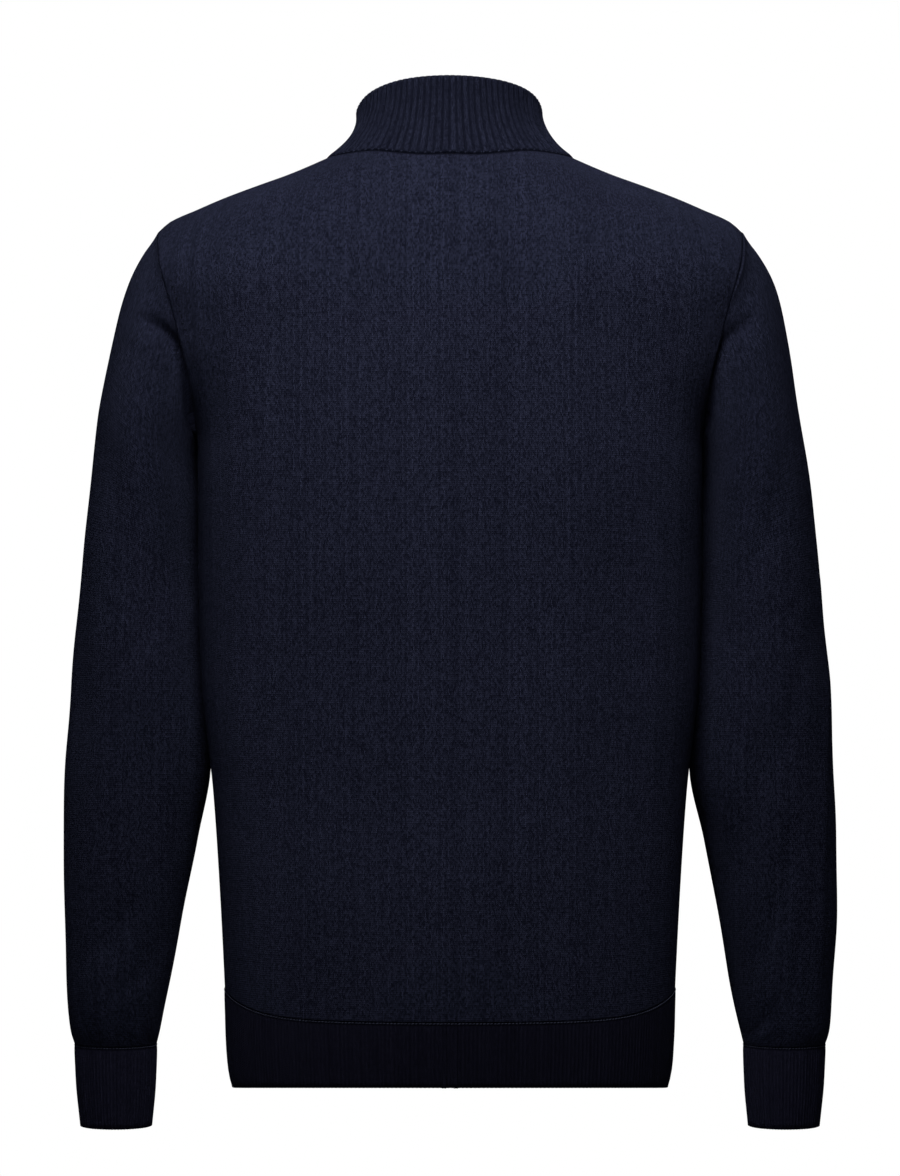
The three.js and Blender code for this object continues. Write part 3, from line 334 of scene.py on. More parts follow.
def shell(name, outer, out, faces, uv, seam, material, wall=WALL, rim=0.7, stand=None):
    """A closed thin shell of cloth: an outer sheet, the same sheet moved in, and a rounded rim between."""
    points, out = outer.reshape(-1, 3), out.reshape(-1, 3)
    count = len(points)
    start, end = faces.reshape(-1), np.roll(faces, -1, 1).reshape(-1)
    border = ~np.isin(start * count + end, end * count + start)
    a, b = start[border], end[border]
    # The rim's middle line stands out a little from the cloth's edge.
    edge = points[b] - points[a]
    owner = np.repeat(faces, 4, 0)[border]
    inwards = points[owner].mean(1) - (points[a] + points[b]) / 2
    away = np.zeros((count, 3))
    length = np.maximum(np.linalg.norm(edge, axis=1, keepdims=True), 1e-9)
    inwards -= edge / length * np.sum(inwards * edge / length, 1, keepdims=True)
    inwards /= np.maximum(np.linalg.norm(inwards, axis=1, keepdims=True), 1e-9)
    np.add.at(away, a, -inwards)
    np.add.at(away, b, -inwards)
    size = np.linalg.norm(away, axis=1, keepdims=True)
    away = np.where(size > 0, away / np.maximum(size, 1e-9), 0)
    used = np.unique(np.concatenate([a, b]))
    place = np.full(count, -1)
    place[used] = 2 * count + np.arange(len(used))
    middle = points[used] - out[used] * wall / 2 + away[used] * rim
    every = np.concatenate([points, points - out * wall, middle])
    quads = np.concatenate([
        faces,
        faces[:, ::-1] + count,
        np.stack([b, a, place[a], place[b]], -1),
        np.stack([place[b], place[a], a + count, b + count], -1),
    ])
    corners = every[quads]
    flux = np.einsum("ij,ij->i", corners[:, 0], np.cross(corners[:, 1], corners[:, 2]))
    flux += np.einsum("ij,ij->i", corners[:, 0], np.cross(corners[:, 2], corners[:, 3]))
    if flux.sum() < 0:
        quads = quads[:, ::-1]
    piece = bare_object(name, every, quads, material)
    mesh = piece.data
    where = np.concatenate([np.arange(count), np.arange(count), used])
    layer = mesh.uv_layers.new(name="knit_lines")
    loops = np.empty(len(mesh.loops), int)
    mesh.loops.foreach_get("vertex_index", loops)
    layer.data.foreach_set("uv", (uv.reshape(-1, 2)[where][loops] * MM).astype(np.float32).ravel())
    for key, values in (("seam", seam), ("stand", stand)):
        if values is not None:
            mark = mesh.attributes.new(key, "FLOAT", "POINT")
            mark.data.foreach_set("value", values.reshape(-1)[where].astype(np.float32))
    mesh.shade_smooth()
    return piece


def row_lengths(rows, axis):
    """How far each point lies along its row or column, from the first one."""
    step = np.linalg.norm(np.diff(rows, axis=axis), axis=-1)
    before = np.zeros_like(np.take(step, [0], axis))
    return np.concatenate([before, np.cumsum(step, axis)], axis)


def knit_lines(name, x, z):
    """Where a panel's places lie in the flat knit: across at their own level, and up along their own wale."""
    face = FACES[name]
    t = np.linspace(0, 1, 33)
    across = x[..., None] * t
    y = mid_y(z)[..., None] + bare_depth(face, across, z[..., None] + 0 * across)
    level = np.hypot(np.diff(across), np.diff(y)).sum(-1) * np.sign(x)
    low = -650
    up = low + (z[..., None] - low) * t
    y = mid_y(up) + face["sign"] * bare_depth(face, x[..., None] + 0 * up, up)
    return np.stack([level, np.hypot(np.diff(up), np.diff(y)).sum(-1)], -1)


def panel(name, material):
    """The front or the back, from the rib's seam up to the neck and the shoulders."""
    face = FACES[name]
    half = np.concatenate([np.linspace(0, 0.5, 34), 0.5 + 0.5 * np.linspace(0, 1, 30)[1:-1], [0.985, 0.993, 1]])
    share = np.concatenate([half[::-1], half])[None, :]
    side = np.concatenate([-np.ones(len(half)), np.ones(len(half))])[None, :]
    low = np.concatenate([[0, 0.004], np.linspace(0, 1, 104)[1:-1]])[:, None]
    z_low = mix(hem_seam_z(share), UNDERARM_Z, low)
    x_low = side * level_x(share, half_width(z_low))
    up = (1 - np.cos(np.linspace(0, math.pi, 62))) / 2
    up = up[:, None]
    end_x = top_x(share)
    end_z = np.where(share < 0.5, neck_z(face, end_x), crest_z(end_x))
    edge = armhole_x(mix(UNDERARM_Z, POINT_Z, up))
    x_up = mix(level_x(share, edge), end_x * edge / POINT_X, up * up * (3 - 2 * up))
    x_up = side * np.where(share == 0, SLIT_HALF, x_up)
    x, z = np.concatenate([x_low, x_up]), np.concatenate([z_low, mix(UNDERARM_Z, end_z, up)])
    rows = body_points(name, x, z)
    if name == "front":
        # The arm presses the front in beside the side seam.
        off = (mid_y(z) - rows[..., 1]) / 17
        pressed = ease(off) * (1 - ease((off - 2.4) / 2.4)) * ease((-206 - z) / 36) * ease((z + 490) / 60)
        rows[..., 0] -= side * 4.4 * pressed
    out = directions(rows, np.array([0, -8, -400]))
    first_up = len(low)
    out[:first_up + 1, [0, -1], 1] = 0
    shoulder = (share[0] >= 0.5) & (np.arange(share.shape[1]) >= 0)
    out[-1, shoulder, 1] = 0
    out /= np.linalg.norm(out, axis=-1, keepdims=True)
    level, rise = row_lengths(rows, 1), row_lengths(rows, 0)
    # The side and armhole seams are drawn up flatter than the neck's and the hem's.
    seam = np.minimum(np.minimum(level, level[:, -1:] - level) + 1.0, np.minimum(rise, rise[-1:] - rise))
    middle = len(half)
    missing = (lambda r, c: (c == middle - 1) & (r >= first_up)) if name == "front" else None
    faces = sheet_faces(*x.shape, missing=missing)
    piece = shell(name + "_knit", rows, out, faces, knit_lines(name, x, z), seam, material, rim=0.35)
    return piece, rows, out, first_up, middle


def rib_profile(turns, kind):
    """How far the ribs stand out, from 0 to 1, over the rib's own turn: one wale, or two close ones."""
    f = turns % 1
    if kind == "pair":
        wales = [np.clip(1 - ((f - centre) / 0.2) ** 2, 0, 1) for centre in (1 / 6, 1 / 2, 7 / 6)]
        return np.maximum.reduce(wales) ** 0.6
    return np.clip(1 - ((f - 0.25) / 0.3) ** 2, 0, 1) ** 0.6 + np.clip(1 - ((f - 1.25) / 0.3) ** 2, 0, 1) ** 0.6


def rib_band(name, base, centre, ribs, relief, kind, material, round_tube=False, per_rib=6, seam_rows=(0,)):
    """A ribbed band on a smooth base sheet, whose columns are spread evenly along its middle row."""
    closed = np.concatenate([base, base[:, :1]], 1) if round_tube else base
    lengths = row_lengths(closed, 1)[len(base) // 2]
    at = np.linspace(0, 1, ribs * per_rib + 1)
    fine = np.stack([
        np.stack([np.interp(at * lengths[-1], lengths, row[:, k]) for k in range(3)], -1) for row in closed
    ])
    if round_tube:
        fine, at = fine[:, :-1], at[:-1]
    out = directions(fine, centre, round_tube)
    pitch = lengths[-1] / ribs
    turns = at * ribs - (1 / 6 if kind == "pair" else 0.25)
    rise = row_lengths(fine, 0)
    seam = np.minimum.reduce([np.abs(rise - rise[r]) for r in seam_rows])
    wave = 0.92 + 0.08 * np.sin(0.7 * turns[None, :] + 0.21 * rise)
    stand = rib_profile(turns, kind)[None, :] * wave * (0.45 + 0.55 * np.clip(seam / 2.5, 0, 1))
    rows = fine + out * (relief * stand)[..., None]
    uv = np.stack(np.broadcast_arrays((turns * pitch)[None, :], rise), -1)
    if round_tube:
        uv[..., 0] = (turns * pitch)[None, :]
    faces = sheet_faces(*rows.shape[:2], round_tube=round_tube)
    return shell(name, rows, out, faces, uv, seam, material, rim=0.5, stand=stand), fine, out


def hem_band(name, material):
    """The rib at the bottom of a panel."""
    share = np.linspace(0, 1, 200)
    share, side = np.concatenate([share[::-1], share]), np.repeat([-1, 1], 200)
    top_z = hem_seam_z(share) - SEAM_GAP
    x = side * level_x(share, half_width(top_z))
    top = body_points(name, x, top_z)
    edge_x_low = side * level_x(share, half_width(np.array(float(HEM_EDGE_Z))))
    flat = body_points(name, edge_x_low, np.full(400, float(HEM_EDGE_Z)))
    lift = HEM_BACK_RISE * np.maximum(0, flat[:, 1] - mid_y(HEM_EDGE_Z))
    low = body_points(name, edge_x_low, HEM_EDGE_Z + lift)
    t = np.concatenate([[0, 0.012, 0.03], np.linspace(0, 1, 12)[1:]])[:, None, None]
    base = mix(top[None], low[None], t)
    away = directions(base, np.array([0, -5, -660]))
    base = base + away * 0.5 * np.sin(np.pi * t)
    corner = (share**10)[None, :] * t[..., 0] ** 9
    base[..., 0] -= side * 5.4 * corner
    base[..., 2] += 1.4 * (share**16)[None, :] * t[..., 0] ** 3
    return rib_band("hem_rib_" + name + "_knit", base, np.array([0, -5, -660]), HEM_RIBS, HEM_RELIEF, "single",
                    material)


def armhole_points(angle):
    """The armhole's seam on the wearer's left, by the angle round the sleeve: 0 at the shoulder point."""
    z = mix(UNDERARM_Z, POINT_Z, (1 + np.cos(angle)) / 2)
    x = armhole_x(z)
    back, front = body_points("back", x, z), body_points("front", x, z)
    return np.where((np.sin(angle) >= 0)[..., None], back, front)


sleeve_table = [
    follow(range(19), column)
    for column in (SLEEVE_OUT_X, SLEEVE_OUT_Z, SLEEVE_IN_X, SLEEVE_IN_Z, SLEEVE_HALF_Y, SLEEVE_MID_Y, SLEEVE_IN_Y)
]


def ring_points(ring, angle):
    out_x, out_z, in_x, in_z, half_y, middle, in_y = [column(ring) for column in sleeve_table]
    reach = np.cos(angle) / 2
    # Under the arm the sleeve lies against the body, a little before its side seam.
    middle = middle + in_y * (0.5 - reach) ** 2
    return np.stack([
        (out_x + in_x) / 2 + reach * (out_x - in_x),
        middle + half_y * np.sin(angle),
        (out_z + in_z) / 2 + reach * (out_z - in_z),
    ], -1)


def sleeve(name, side, material):
    """A sleeve from the armhole down to the cuff's seam. Its first column is its outermost line."""
    columns = 104
    angle = (2 * math.pi * np.arange(columns) / columns)[None, :]
    ring = np.concatenate([[0, 0.05, 0.14], np.linspace(0, 18, 176)[2:], [18]])[:, None]
    ring = np.unique(ring)[:, None]
    fade = np.maximum(0, 1 - ring / ARMHOLE_FADE) ** 2
    offset = armhole_points(angle) - ring_points(np.zeros((1, 1)), angle)
    rows = ring_points(ring, angle) + fade[..., None] * offset
    # The arm hangs a little before the body, so it is made as much larger as that lets it seem smaller.
    larger = 1 + (SLEEVE_MID_Y[0] - sleeve_table[5](ring)) / ARM_NEARER
    rows[..., 0] *= larger
    rows[..., 2] = SIGHT_Z + (rows[..., 2] - SIGHT_Z) * larger
    if side < 0:
        rows[..., 0] += 3.0 * np.exp(-(((rows[..., 2] + 94) / 30) ** 2)) * np.clip(np.cos(angle), 0, 1) * (ring > 0)
    centre = rows.mean(1, keepdims=True)
    out = directions(rows, centre, True)
    depth = np.zeros(rows.shape[:2])
    for face, sign in (("back", 1), ("front", -1)):
        weight = np.clip(sign * np.sin(angle), 0, 1) ** 0.5
        depth += weight * press(SLEEVE_FOLDS[name, face], rows[..., 0], rows[..., 2])
    fade_in = np.clip(ring / 1.5, 0, 1) * np.clip((18 - ring) / 1.5, 0.15, 1)
    # At the armpit the sleeve dives under the body's edge.
    armpit = ease((-122 - rows[..., 2]) / 30) * np.exp(-((ring / 1.5) ** 2)) * np.clip(np.sin(angle), 0, 1)
    depth += 3.2 * armpit * (ring > 0)
    depth += fade_in * 0.8 * drift(rows[..., 0] * 1.6 + 40 * np.sin(angle), rows[..., 2] * 1.5, 2.0 * side)
    rows = rows - out * (np.clip(ring / 0.6, 0, 1) * depth)[..., None]
    rows[..., 0] *= side
    out = directions(rows, rows.mean(1, keepdims=True), True)
    rise = row_lengths(rows, 0)
    closed = np.concatenate([rows, rows[:, :1]], 1)
    around = row_lengths(closed, 1)
    level = np.where(np.arange(columns) <= columns // 2, around[:, :-1], around[:, :-1] - around[:, -1:])
    # The wales run down the sleeve; the seam that joins them is under the arm.
    from_seam = np.abs(around[:, :-1] - around[:, columns // 2][:, None])
    # In the pit of the arm the knit is painted darker further in from the seam: painted shade in the armpit.
    armpit_shade = 1 - 0.75 * ease((-150 - rows[..., 2]) / 30)
    seam = np.minimum(np.minimum((rise + 1.0) * armpit_shade, rise[-1:] - rise), from_seam)
    uv = np.stack([level, rise.mean(1, keepdims=True) + 0 * level], -1)
    faces = sheet_faces(*rows.shape[:2], round_tube=True)
    piece = shell("sleeve_" + name + "_knit", rows, out, faces, uv, seam, material, rim=0.35)
    return piece, rows, out


def cuff(name, side, ring, material):
    """A ribbed cuff from the sleeve's last ring down to its edge."""
    count = len(ring)
    angle = 2 * math.pi * np.arange(count) / count
    edge = np.stack([
        side * (CUFF_X + CUFF_HALF_X * np.cos(angle)),
        CUFF_MID_Y + CUFF_HALF_Y * np.sin(angle),
        np.full(count, CUFF_Z),
    ], -1)
    top = ring - np.array([0, 0, SEAM_GAP])
    t = np.concatenate([[0, 0.012, 0.03], np.linspace(0, 1, 14)[1:]])[:, None, None]
    base = mix(top[None], edge[None], t)
    away = directions(base, base.mean(1, keepdims=True), True)
    base = base + away * 0.9 * np.sin(np.pi * t)
    return rib_band("cuff_" + name + "_knit", base, base.mean(axis=(0, 1)), CUFF_RIBS, CUFF_RELIEF, "single",
                    material, round_tube=True)


def neck_points(angle):
    """The neck's seam by the angle round the neck, 0 at the centre back."""
    x = NECK_HALF * np.sin(angle)
    rows = []
    for name in ("back", "front"):
        z = neck_z(FACES[name], x)
        rows.append(body_points(name, x, z))
    return np.where((np.cos(angle) > 0)[..., None], rows[0], rows[1])


RIM_SHARE = (math.pi - math.asin(SLIT_HALF / RIM_HALF)) / (math.pi - SLIT_ANGLE)


def collar_points(angle, up):
    """The collar's smooth surface by the angle round the neck, and from 0 at its seam to 1 at its rim."""
    seam = neck_points(angle)
    forth = np.cos(angle * RIM_SHARE)
    rim_y = RIM_MID_Y + np.where(forth > 0, RIM_BACK, RIM_FRONT) * forth
    rim = np.stack([RIM_HALF * np.sin(angle * RIM_SHARE), rim_y, RIM_MID_Z + RIM_TILT * forth + RIM_DIP * forth**2], -1)
    turned = (1 - (1 - up) ** COLLAR_CURVE)[..., None]
    points = mix(seam, rim, turned)
    points[..., 2] = mix(seam[..., 2], rim[..., 2], up)
    return points


def collar(material):
    angle = np.linspace(math.pi - SLIT_ANGLE, SLIT_ANGLE - math.pi, 700)[None, :]
    up = np.concatenate([[0, 0.02, 0.05], np.linspace(0, 1, 20)[2:]])[:, None]
    base = collar_points(angle + 0 * up, up + 0 * angle)
    sway = 0.7 * np.sin(3 * angle + 0.6) * np.sin(np.pi * up) + 0.5 * np.sin(5 * angle) * up
    base = base + directions(base, np.array([0, -13, 0])) * sway[..., None]
    return rib_band("collar_knit", base, np.array([0, -13, 0]), COLLAR_RIBS, COLLAR_RELIEF, "pair", material,
                    per_rib=9)


def zip_lines(columns, steps=70):
    """The cloth's outside beside the zip on the wearer's left: rows from below the slit to the collar's rim."""
    z = np.linspace(TAPE_LOW_Z, -67.5, steps)[:, None]
    x = np.asarray(columns, float)[None, :]
    beside = body_points("front", np.maximum(x, SLIT_HALF) + 0 * z, z + 0 * x)
    beside[..., 0] = x
    angle = np.linspace(math.pi - SLIT_ANGLE, math.pi - 0.30, 60)
    rows = []
    for up in np.linspace(0.03, 0.965, 26):
        line = collar_points(angle, np.full(60, up))
        rows.append(np.stack([x[0], *(np.interp(x[0], line[:, 0], line[:, k]) for k in (1, 2))], -1))
    return np.concatenate([beside, np.array(rows)])


def zip_tape(name, side, material):
    columns = (1.3, 1.8, 2.4, 3.2, 4.5, 6, 8, 10, 12, 13.6, 14.5)
    rows = zip_lines(columns)
    out = directions(rows, np.array([0, 60, -120]))
    rows = rows - out * (WALL + TAPE_CLEAR)
    # The cord that the teeth clasp runs along the tape's inner edge.
    cord = np.exp(-(((np.array(columns) - 2.0) / 0.8) ** 2))[None, :, None]
    level, rise = row_lengths(rows, 1), row_lengths(rows, 0)
    rows = rows + out * 0.35 * cord
    uv = np.stack([level, rise], -1)
    seam = np.minimum(level + 4, level[:, -1:] - level)
    mirror = np.array([side, 1, 1])
    piece = shell("zip_tape_" + name + "_woven", rows * mirror, out * mirror, sheet_faces(*rows.shape[:2]), uv,
                  seam + 3, material, wall=TAPE_THICK, rim=0.15)
    return piece


def node(tree, kind, inputs=(), **settings):
    made = tree.nodes.new(kind)
    for key, value in settings.items():
        setattr(made, key, value)
    for key, value in dict(inputs).items():
        if hasattr(value, "is_output"):
            tree.links.new(value, made.inputs[key])
        else:
            made.inputs[key].default_value = value
    return made


def sums(tree, operation, a, b=0.0, c=None):
    """One step of arithmetic in a node tree."""
    inputs = {0: a, 1: b}
    if c is not None:
        inputs[2] = c
    return node(tree, "ShaderNodeMath", inputs, operation=operation).outputs[0]


def blend_colour(tree, factor, a, b):
    made = node(tree, "ShaderNodeMix", {"Factor": factor}, data_type="RGBA", clamp_factor=False)
    for socket, value in ((made.inputs[6], a), (made.inputs[7], b)):
        if hasattr(value, "is_output"):
            tree.links.new(value, socket)
        else:
            socket.default_value = value
    return made.outputs[2]


def knitted(name, wale, course, face, gap_shade, deep=0.4, grain=1.5, rib_gap_shade=0.0):
    """Matt wool in plain knit: wales of two slanting legs, drawn on the piece's own lines."""
    material = bpy.data.materials.new(name)
    material.use_nodes = True
    tree = material.node_tree
    shader = tree.nodes["Principled BSDF"]
    lines = node(tree, "ShaderNodeUVMap", uv_map="knit_lines").outputs["UV"]
    place = node(tree, "ShaderNodeTexCoord").outputs["Object"]
    loose = node(tree, "ShaderNodeTexNoise", {"Vector": place, "Scale": 120.0, "Detail": 2.0}).outputs["Fac"]
    fibre = node(tree, "ShaderNodeTexNoise", {"Vector": place, "Scale": 1500.0, "Detail": 3.0}).outputs["Fac"]
    cloud = node(tree, "ShaderNodeTexNoise", {"Vector": place, "Scale": 9.0, "Detail": 3.0}).outputs["Fac"]
    split = node(tree, "ShaderNodeSeparateXYZ", {0: lines})
    across = sums(tree, "MULTIPLY_ADD", split.outputs["X"], 1 / (wale * MM), sums(tree, "MULTIPLY", loose, 0.25))
    up = sums(tree, "MULTIPLY_ADD", split.outputs["Y"], 1 / (course * MM), sums(tree, "MULTIPLY", loose, 0.6))
    from_middle = sums(tree, "ABSOLUTE", sums(tree, "SUBTRACT", sums(tree, "FRACT", across), 0.5))
    leg = sums(tree, "SINE", sums(tree, "MULTIPLY", from_middle, 2 * math.pi))
    slant = sums(tree, "MULTIPLY_ADD", from_middle, 1.3, up)
    stitch = sums(tree, "COSINE", sums(tree, "MULTIPLY", slant, 2 * math.pi))
    height = sums(tree, "MULTIPLY", leg, sums(tree, "MULTIPLY_ADD", stitch, 0.28, 0.72))
    loop = node(tree, "ShaderNodeCombineXYZ", {0: sums(tree, "FLOOR", sums(tree, "MULTIPLY", across, 2.0)),
                                               1: sums(tree, "FLOOR", slant)}).outputs[0]
    chance = node(tree, "ShaderNodeTexWhiteNoise", {"Vector": loop}, noise_dimensions="2D").outputs["Value"]
    height = sums(tree, "MULTIPLY_ADD", fibre, 0.35, height)
    # Near a seam the knit sinks: the lowering takes down its bump height and paints it darker there, painted shade in
    # the seam's groove.
    seam = node(tree, "ShaderNodeAttribute", attribute_name="seam").outputs["Fac"]
    seam_sink_shade = sums(tree, "POWER", 2.718, sums(tree, "MULTIPLY", sums(tree, "POWER", seam, 2.0), -0.7))
    height = sums(tree, "SUBTRACT", height, sums(tree, "MULTIPLY", seam_sink_shade, 1.8))
    yarns = node(tree, "ShaderNodeMapping", {"Vector": lines, "Scale": (420, 560, 1)}).outputs[0]
    mottle = node(tree, "ShaderNodeTexNoise", {"Vector": yarns, "Scale": 1.0, "Detail": 1.0}).outputs["Fac"]
    shade = node(tree, "ShaderNodeMapRange", {0: height, 1: 0.0, 2: 1.15}).outputs[0]
    shade = sums(tree, "MULTIPLY", shade, sums(tree, "MULTIPLY_ADD", mottle, 0.7, 0.55))
    streak = node(tree, "ShaderNodeTexWhiteNoise", {"W": sums(tree, "FLOOR", across)},
                  noise_dimensions="1D").outputs["Value"]
    shade = sums(tree, "MULTIPLY", shade, sums(tree, "MULTIPLY_ADD", chance, grain, 1 - grain / 2))
    shade = sums(tree, "MULTIPLY", shade, sums(tree, "MULTIPLY_ADD", streak, 0.4, 0.8))
    # Painted shade between the ribs: where a rib stands out less, its colour is darker.
    if rib_gap_shade:
        stand = node(tree, "ShaderNodeAttribute", attribute_name="stand").outputs["Fac"]
        shade = sums(tree, "MULTIPLY", shade, sums(tree, "MULTIPLY_ADD", stand, rib_gap_shade, 1.05 - rib_gap_shade))
    shade = sums(tree, "MULTIPLY_ADD", cloud, 0.22, sums(tree, "MULTIPLY", shade, 0.9))
    # Painted shade: where the knit lies low its colour falls towards the gap colour; the random tone above moves it
    # too.
    colour = blend_colour(tree, shade, gap_shade, face)
    tree.links.new(colour, shader.inputs["Base Color"])
    rough = sums(tree, "MULTIPLY_ADD", fibre, 0.12, 0.84)
    tree.links.new(rough, shader.inputs["Roughness"])
    bump = node(tree, "ShaderNodeBump", {"Strength": 1.0, "Distance": deep * MM, "Height": height})
    tree.links.new(bump.outputs["Normal"], shader.inputs["Normal"])
    shader.inputs["Specular IOR Level"].default_value = 0.0
    shader.inputs["Sheen Weight"].default_value = 0.008
    shader.inputs["Sheen Roughness"].default_value = 0.45
    shader.inputs["Sheen Tint"].default_value = (0.42, 0.5, 0.85, 1)
    return material


def yarn_and_painted_shade(name, colour):
    """The thread of the seams, with its twist. Made dark, the same material paints the shade of small gaps and holes.
    """
    material = bpy.data.materials.new(name)
    material.use_nodes = True
    tree = material.node_tree
    shader = tree.nodes["Principled BSDF"]
    place = node(tree, "ShaderNodeTexCoord").outputs["Object"]
    twist = node(tree, "ShaderNodeTexWave", {"Vector": place, "Scale": 420.0, "Distortion": 2.0},
                 bands_direction="DIAGONAL").outputs["Fac"]
    dark = tuple(part * 0.55 for part in colour[:3]) + (1,)
    tree.links.new(blend_colour(tree, twist, dark, colour), shader.inputs["Base Color"])
    bump = node(tree, "ShaderNodeBump", {"Strength": 0.4, "Distance": 0.15 * MM, "Height": twist})
    tree.links.new(bump.outputs["Normal"], shader.inputs["Normal"])
    shader.inputs["Roughness"].default_value = 0.85
    shader.inputs["Specular IOR Level"].default_value = 0.02
    return material


def woven_tape(name):
    """Herringbone tape: slanting lines that turn round every 2.4 mm."""
    material = bpy.data.materials.new(name)
    material.use_nodes = True
    tree = material.node_tree
    shader = tree.nodes["Principled BSDF"]
    lines = node(tree, "ShaderNodeUVMap", uv_map="knit_lines").outputs["UV"]
    split = node(tree, "ShaderNodeSeparateXYZ", {0: lines})
    turn = sums(tree, "PINGPONG", split.outputs["X"], 2.4 * MM)
    slope = sums(tree, "ADD", turn, split.outputs["Y"])
    weave = sums(tree, "SINE", sums(tree, "MULTIPLY", slope, 2 * math.pi / (0.8 * MM)))
    fibre = node(tree, "ShaderNodeTexNoise", {"Vector": lines, "Scale": 2600.0}).outputs["Fac"]
    height = sums(tree, "MULTIPLY_ADD", fibre, 0.4, sums(tree, "MULTIPLY_ADD", weave, 0.5, 0.5))
    colour = blend_colour(tree, height, (0.002, 0.0023, 0.0045, 1), (0.006, 0.0068, 0.0125, 1))
    tree.links.new(colour, shader.inputs["Base Color"])
    bump = node(tree, "ShaderNodeBump", {"Strength": 0.7, "Distance": 0.15 * MM, "Height": height})
    tree.links.new(bump.outputs["Normal"], shader.inputs["Normal"])
    shader.inputs["Roughness"].default_value = 0.8
    shader.inputs["Specular IOR Level"].default_value = 0.04
    return material


def gunmetal(name, colour, rough):
    """Dark plated metal with fine wear."""
    material = bpy.data.materials.new(name)
    material.use_nodes = True
    tree = material.node_tree
    shader = tree.nodes["Principled BSDF"]
    place = node(tree, "ShaderNodeTexCoord").outputs["Object"]
    wear = node(tree, "ShaderNodeTexNoise", {"Vector": place, "Scale": 380.0, "Detail": 5.0}).outputs["Fac"]
    brushed = node(tree, "ShaderNodeMapping", {"Vector": place, "Scale": (2600, 2600, 160)}).outputs[0]
    grain = node(tree, "ShaderNodeTexNoise", {"Vector": brushed, "Scale": 1.0, "Detail": 2.0}).outputs["Fac"]
    light = tuple(min(1, part * 1.7) for part in colour[:3]) + (1,)
    tree.links.new(blend_colour(tree, wear, colour, light), shader.inputs["Base Color"])
    spread = sums(tree, "MULTIPLY_ADD", grain, 0.22, rough)
    tree.links.new(spread, shader.inputs["Roughness"])
    bump = node(tree, "ShaderNodeBump", {"Strength": 0.25, "Distance": 0.03 * MM, "Height": grain})
    tree.links.new(bump.outputs["Normal"], shader.inputs["Normal"])
    shader.inputs["Metallic"].default_value = 1.0
    return material


def repeat_tree(name, sizes, element):
    """Geometry nodes that set one element after another along lines, turned by the lines' own attributes."""
    tree = bpy.data.node_groups.new(name, "GeometryNodeTree")
    add = tree.interface.new_socket
    add("Geometry", in_out="INPUT", socket_type="NodeSocketGeometry")
    names = {}
    for key, value in sizes.items():
        socket = add(key, in_out="INPUT", socket_type="NodeSocketFloat")
        socket.default_value = value
        names[key] = socket.identifier
    names["Finish"] = add("Finish", in_out="INPUT", socket_type="NodeSocketMaterial").identifier
    add("Geometry", in_out="OUTPUT", socket_type="NodeSocketGeometry")
    given = node(tree, "NodeGroupInput").outputs
    curve = node(tree, "GeometryNodeMeshToCurve", {0: given["Geometry"]}).outputs[0]
    spaced = node(tree, "GeometryNodeResampleCurve", {"Curve": curve, "Length": given["Spacing"]}, mode="LENGTH")
    lay = node(tree, "GeometryNodeInputNamedAttribute", {"Name": "lay"}, data_type="FLOAT_VECTOR").outputs[0]
    out = node(tree, "GeometryNodeInputNamedAttribute", {"Name": "out"}, data_type="FLOAT_VECTOR").outputs[0]
    first = node(tree, "FunctionNodeAlignRotationToVector", {"Vector": lay}, axis="X").outputs[0]
    turned = node(tree, "FunctionNodeAlignRotationToVector", {"Rotation": first, "Vector": out}, axis="Z",
                  pivot_axis="X").outputs[0]
    uneven = node(tree, "FunctionNodeRandomValue", {"Seed": 7}, data_type="FLOAT_VECTOR")
    uneven.inputs[0].default_value = (0.93, 0.93, 0.93)
    uneven.inputs[1].default_value = (1.05, 1.05, 1.05)
    placed = node(tree, "GeometryNodeInstanceOnPoints", {
        "Points": spaced.outputs[0], "Instance": element(tree, given), "Rotation": turned,
        "Scale": uneven.outputs[0],
    })
    real = node(tree, "GeometryNodeRealizeInstances", {0: placed.outputs[0]}).outputs[0]
    smooth = node(tree, "GeometryNodeSetShadeSmooth", {0: real}).outputs[0]
    finished = node(tree, "GeometryNodeSetMaterial", {0: smooth, "Material": given["Finish"]}).outputs[0]
    node(tree, "NodeGroupOutput", {0: finished})
    return tree, names


def stitch_element(tree, given):
    """One short stitch: a long bead, slanted on the cloth."""
    bead = node(tree, "GeometryNodeMeshUVSphere", {"Segments": 8, "Rings": 5, "Radius": 0.5}).outputs[0]
    size = node(tree, "ShaderNodeCombineXYZ", {0: given["Length"], 1: given["Width"], 2: given["Height"]}).outputs[0]
    turn = node(tree, "ShaderNodeCombineXYZ", {2: given["Slant"]}).outputs[0]
    return node(tree, "GeometryNodeTransform", {0: bead, "Scale": size, "Rotation": turn}).outputs[0]


def tooth_element(tree, given):
    """One tooth: a block clasped to the tape, with a rounded head towards the other side."""
    size = node(tree, "ShaderNodeCombineXYZ", {0: given["Width"], 1: given["Height"], 2: given["Thickness"]})
    block = node(tree, "GeometryNodeMeshCube", {"Size": size.outputs[0]}).outputs[0]
    deep = sums(tree, "MULTIPLY", given["Thickness"], 0.8)
    knob = sums(tree, "MULTIPLY", given["Height"], 0.62)
    head = node(tree, "GeometryNodeMeshCylinder", {"Vertices": 10, "Radius": knob, "Depth": deep}).outputs[0]
    out = sums(tree, "MULTIPLY", given["Width"], 0.5)
    shift = node(tree, "ShaderNodeCombineXYZ", {0: out}).outputs[0]
    head = node(tree, "GeometryNodeTransform", {0: head, "Translation": shift}).outputs[0]
    joined = node(tree, "GeometryNodeJoinGeometry")
    tree.links.new(block, joined.inputs[0])
    tree.links.new(head, joined.inputs[0])
    return joined.outputs[0]


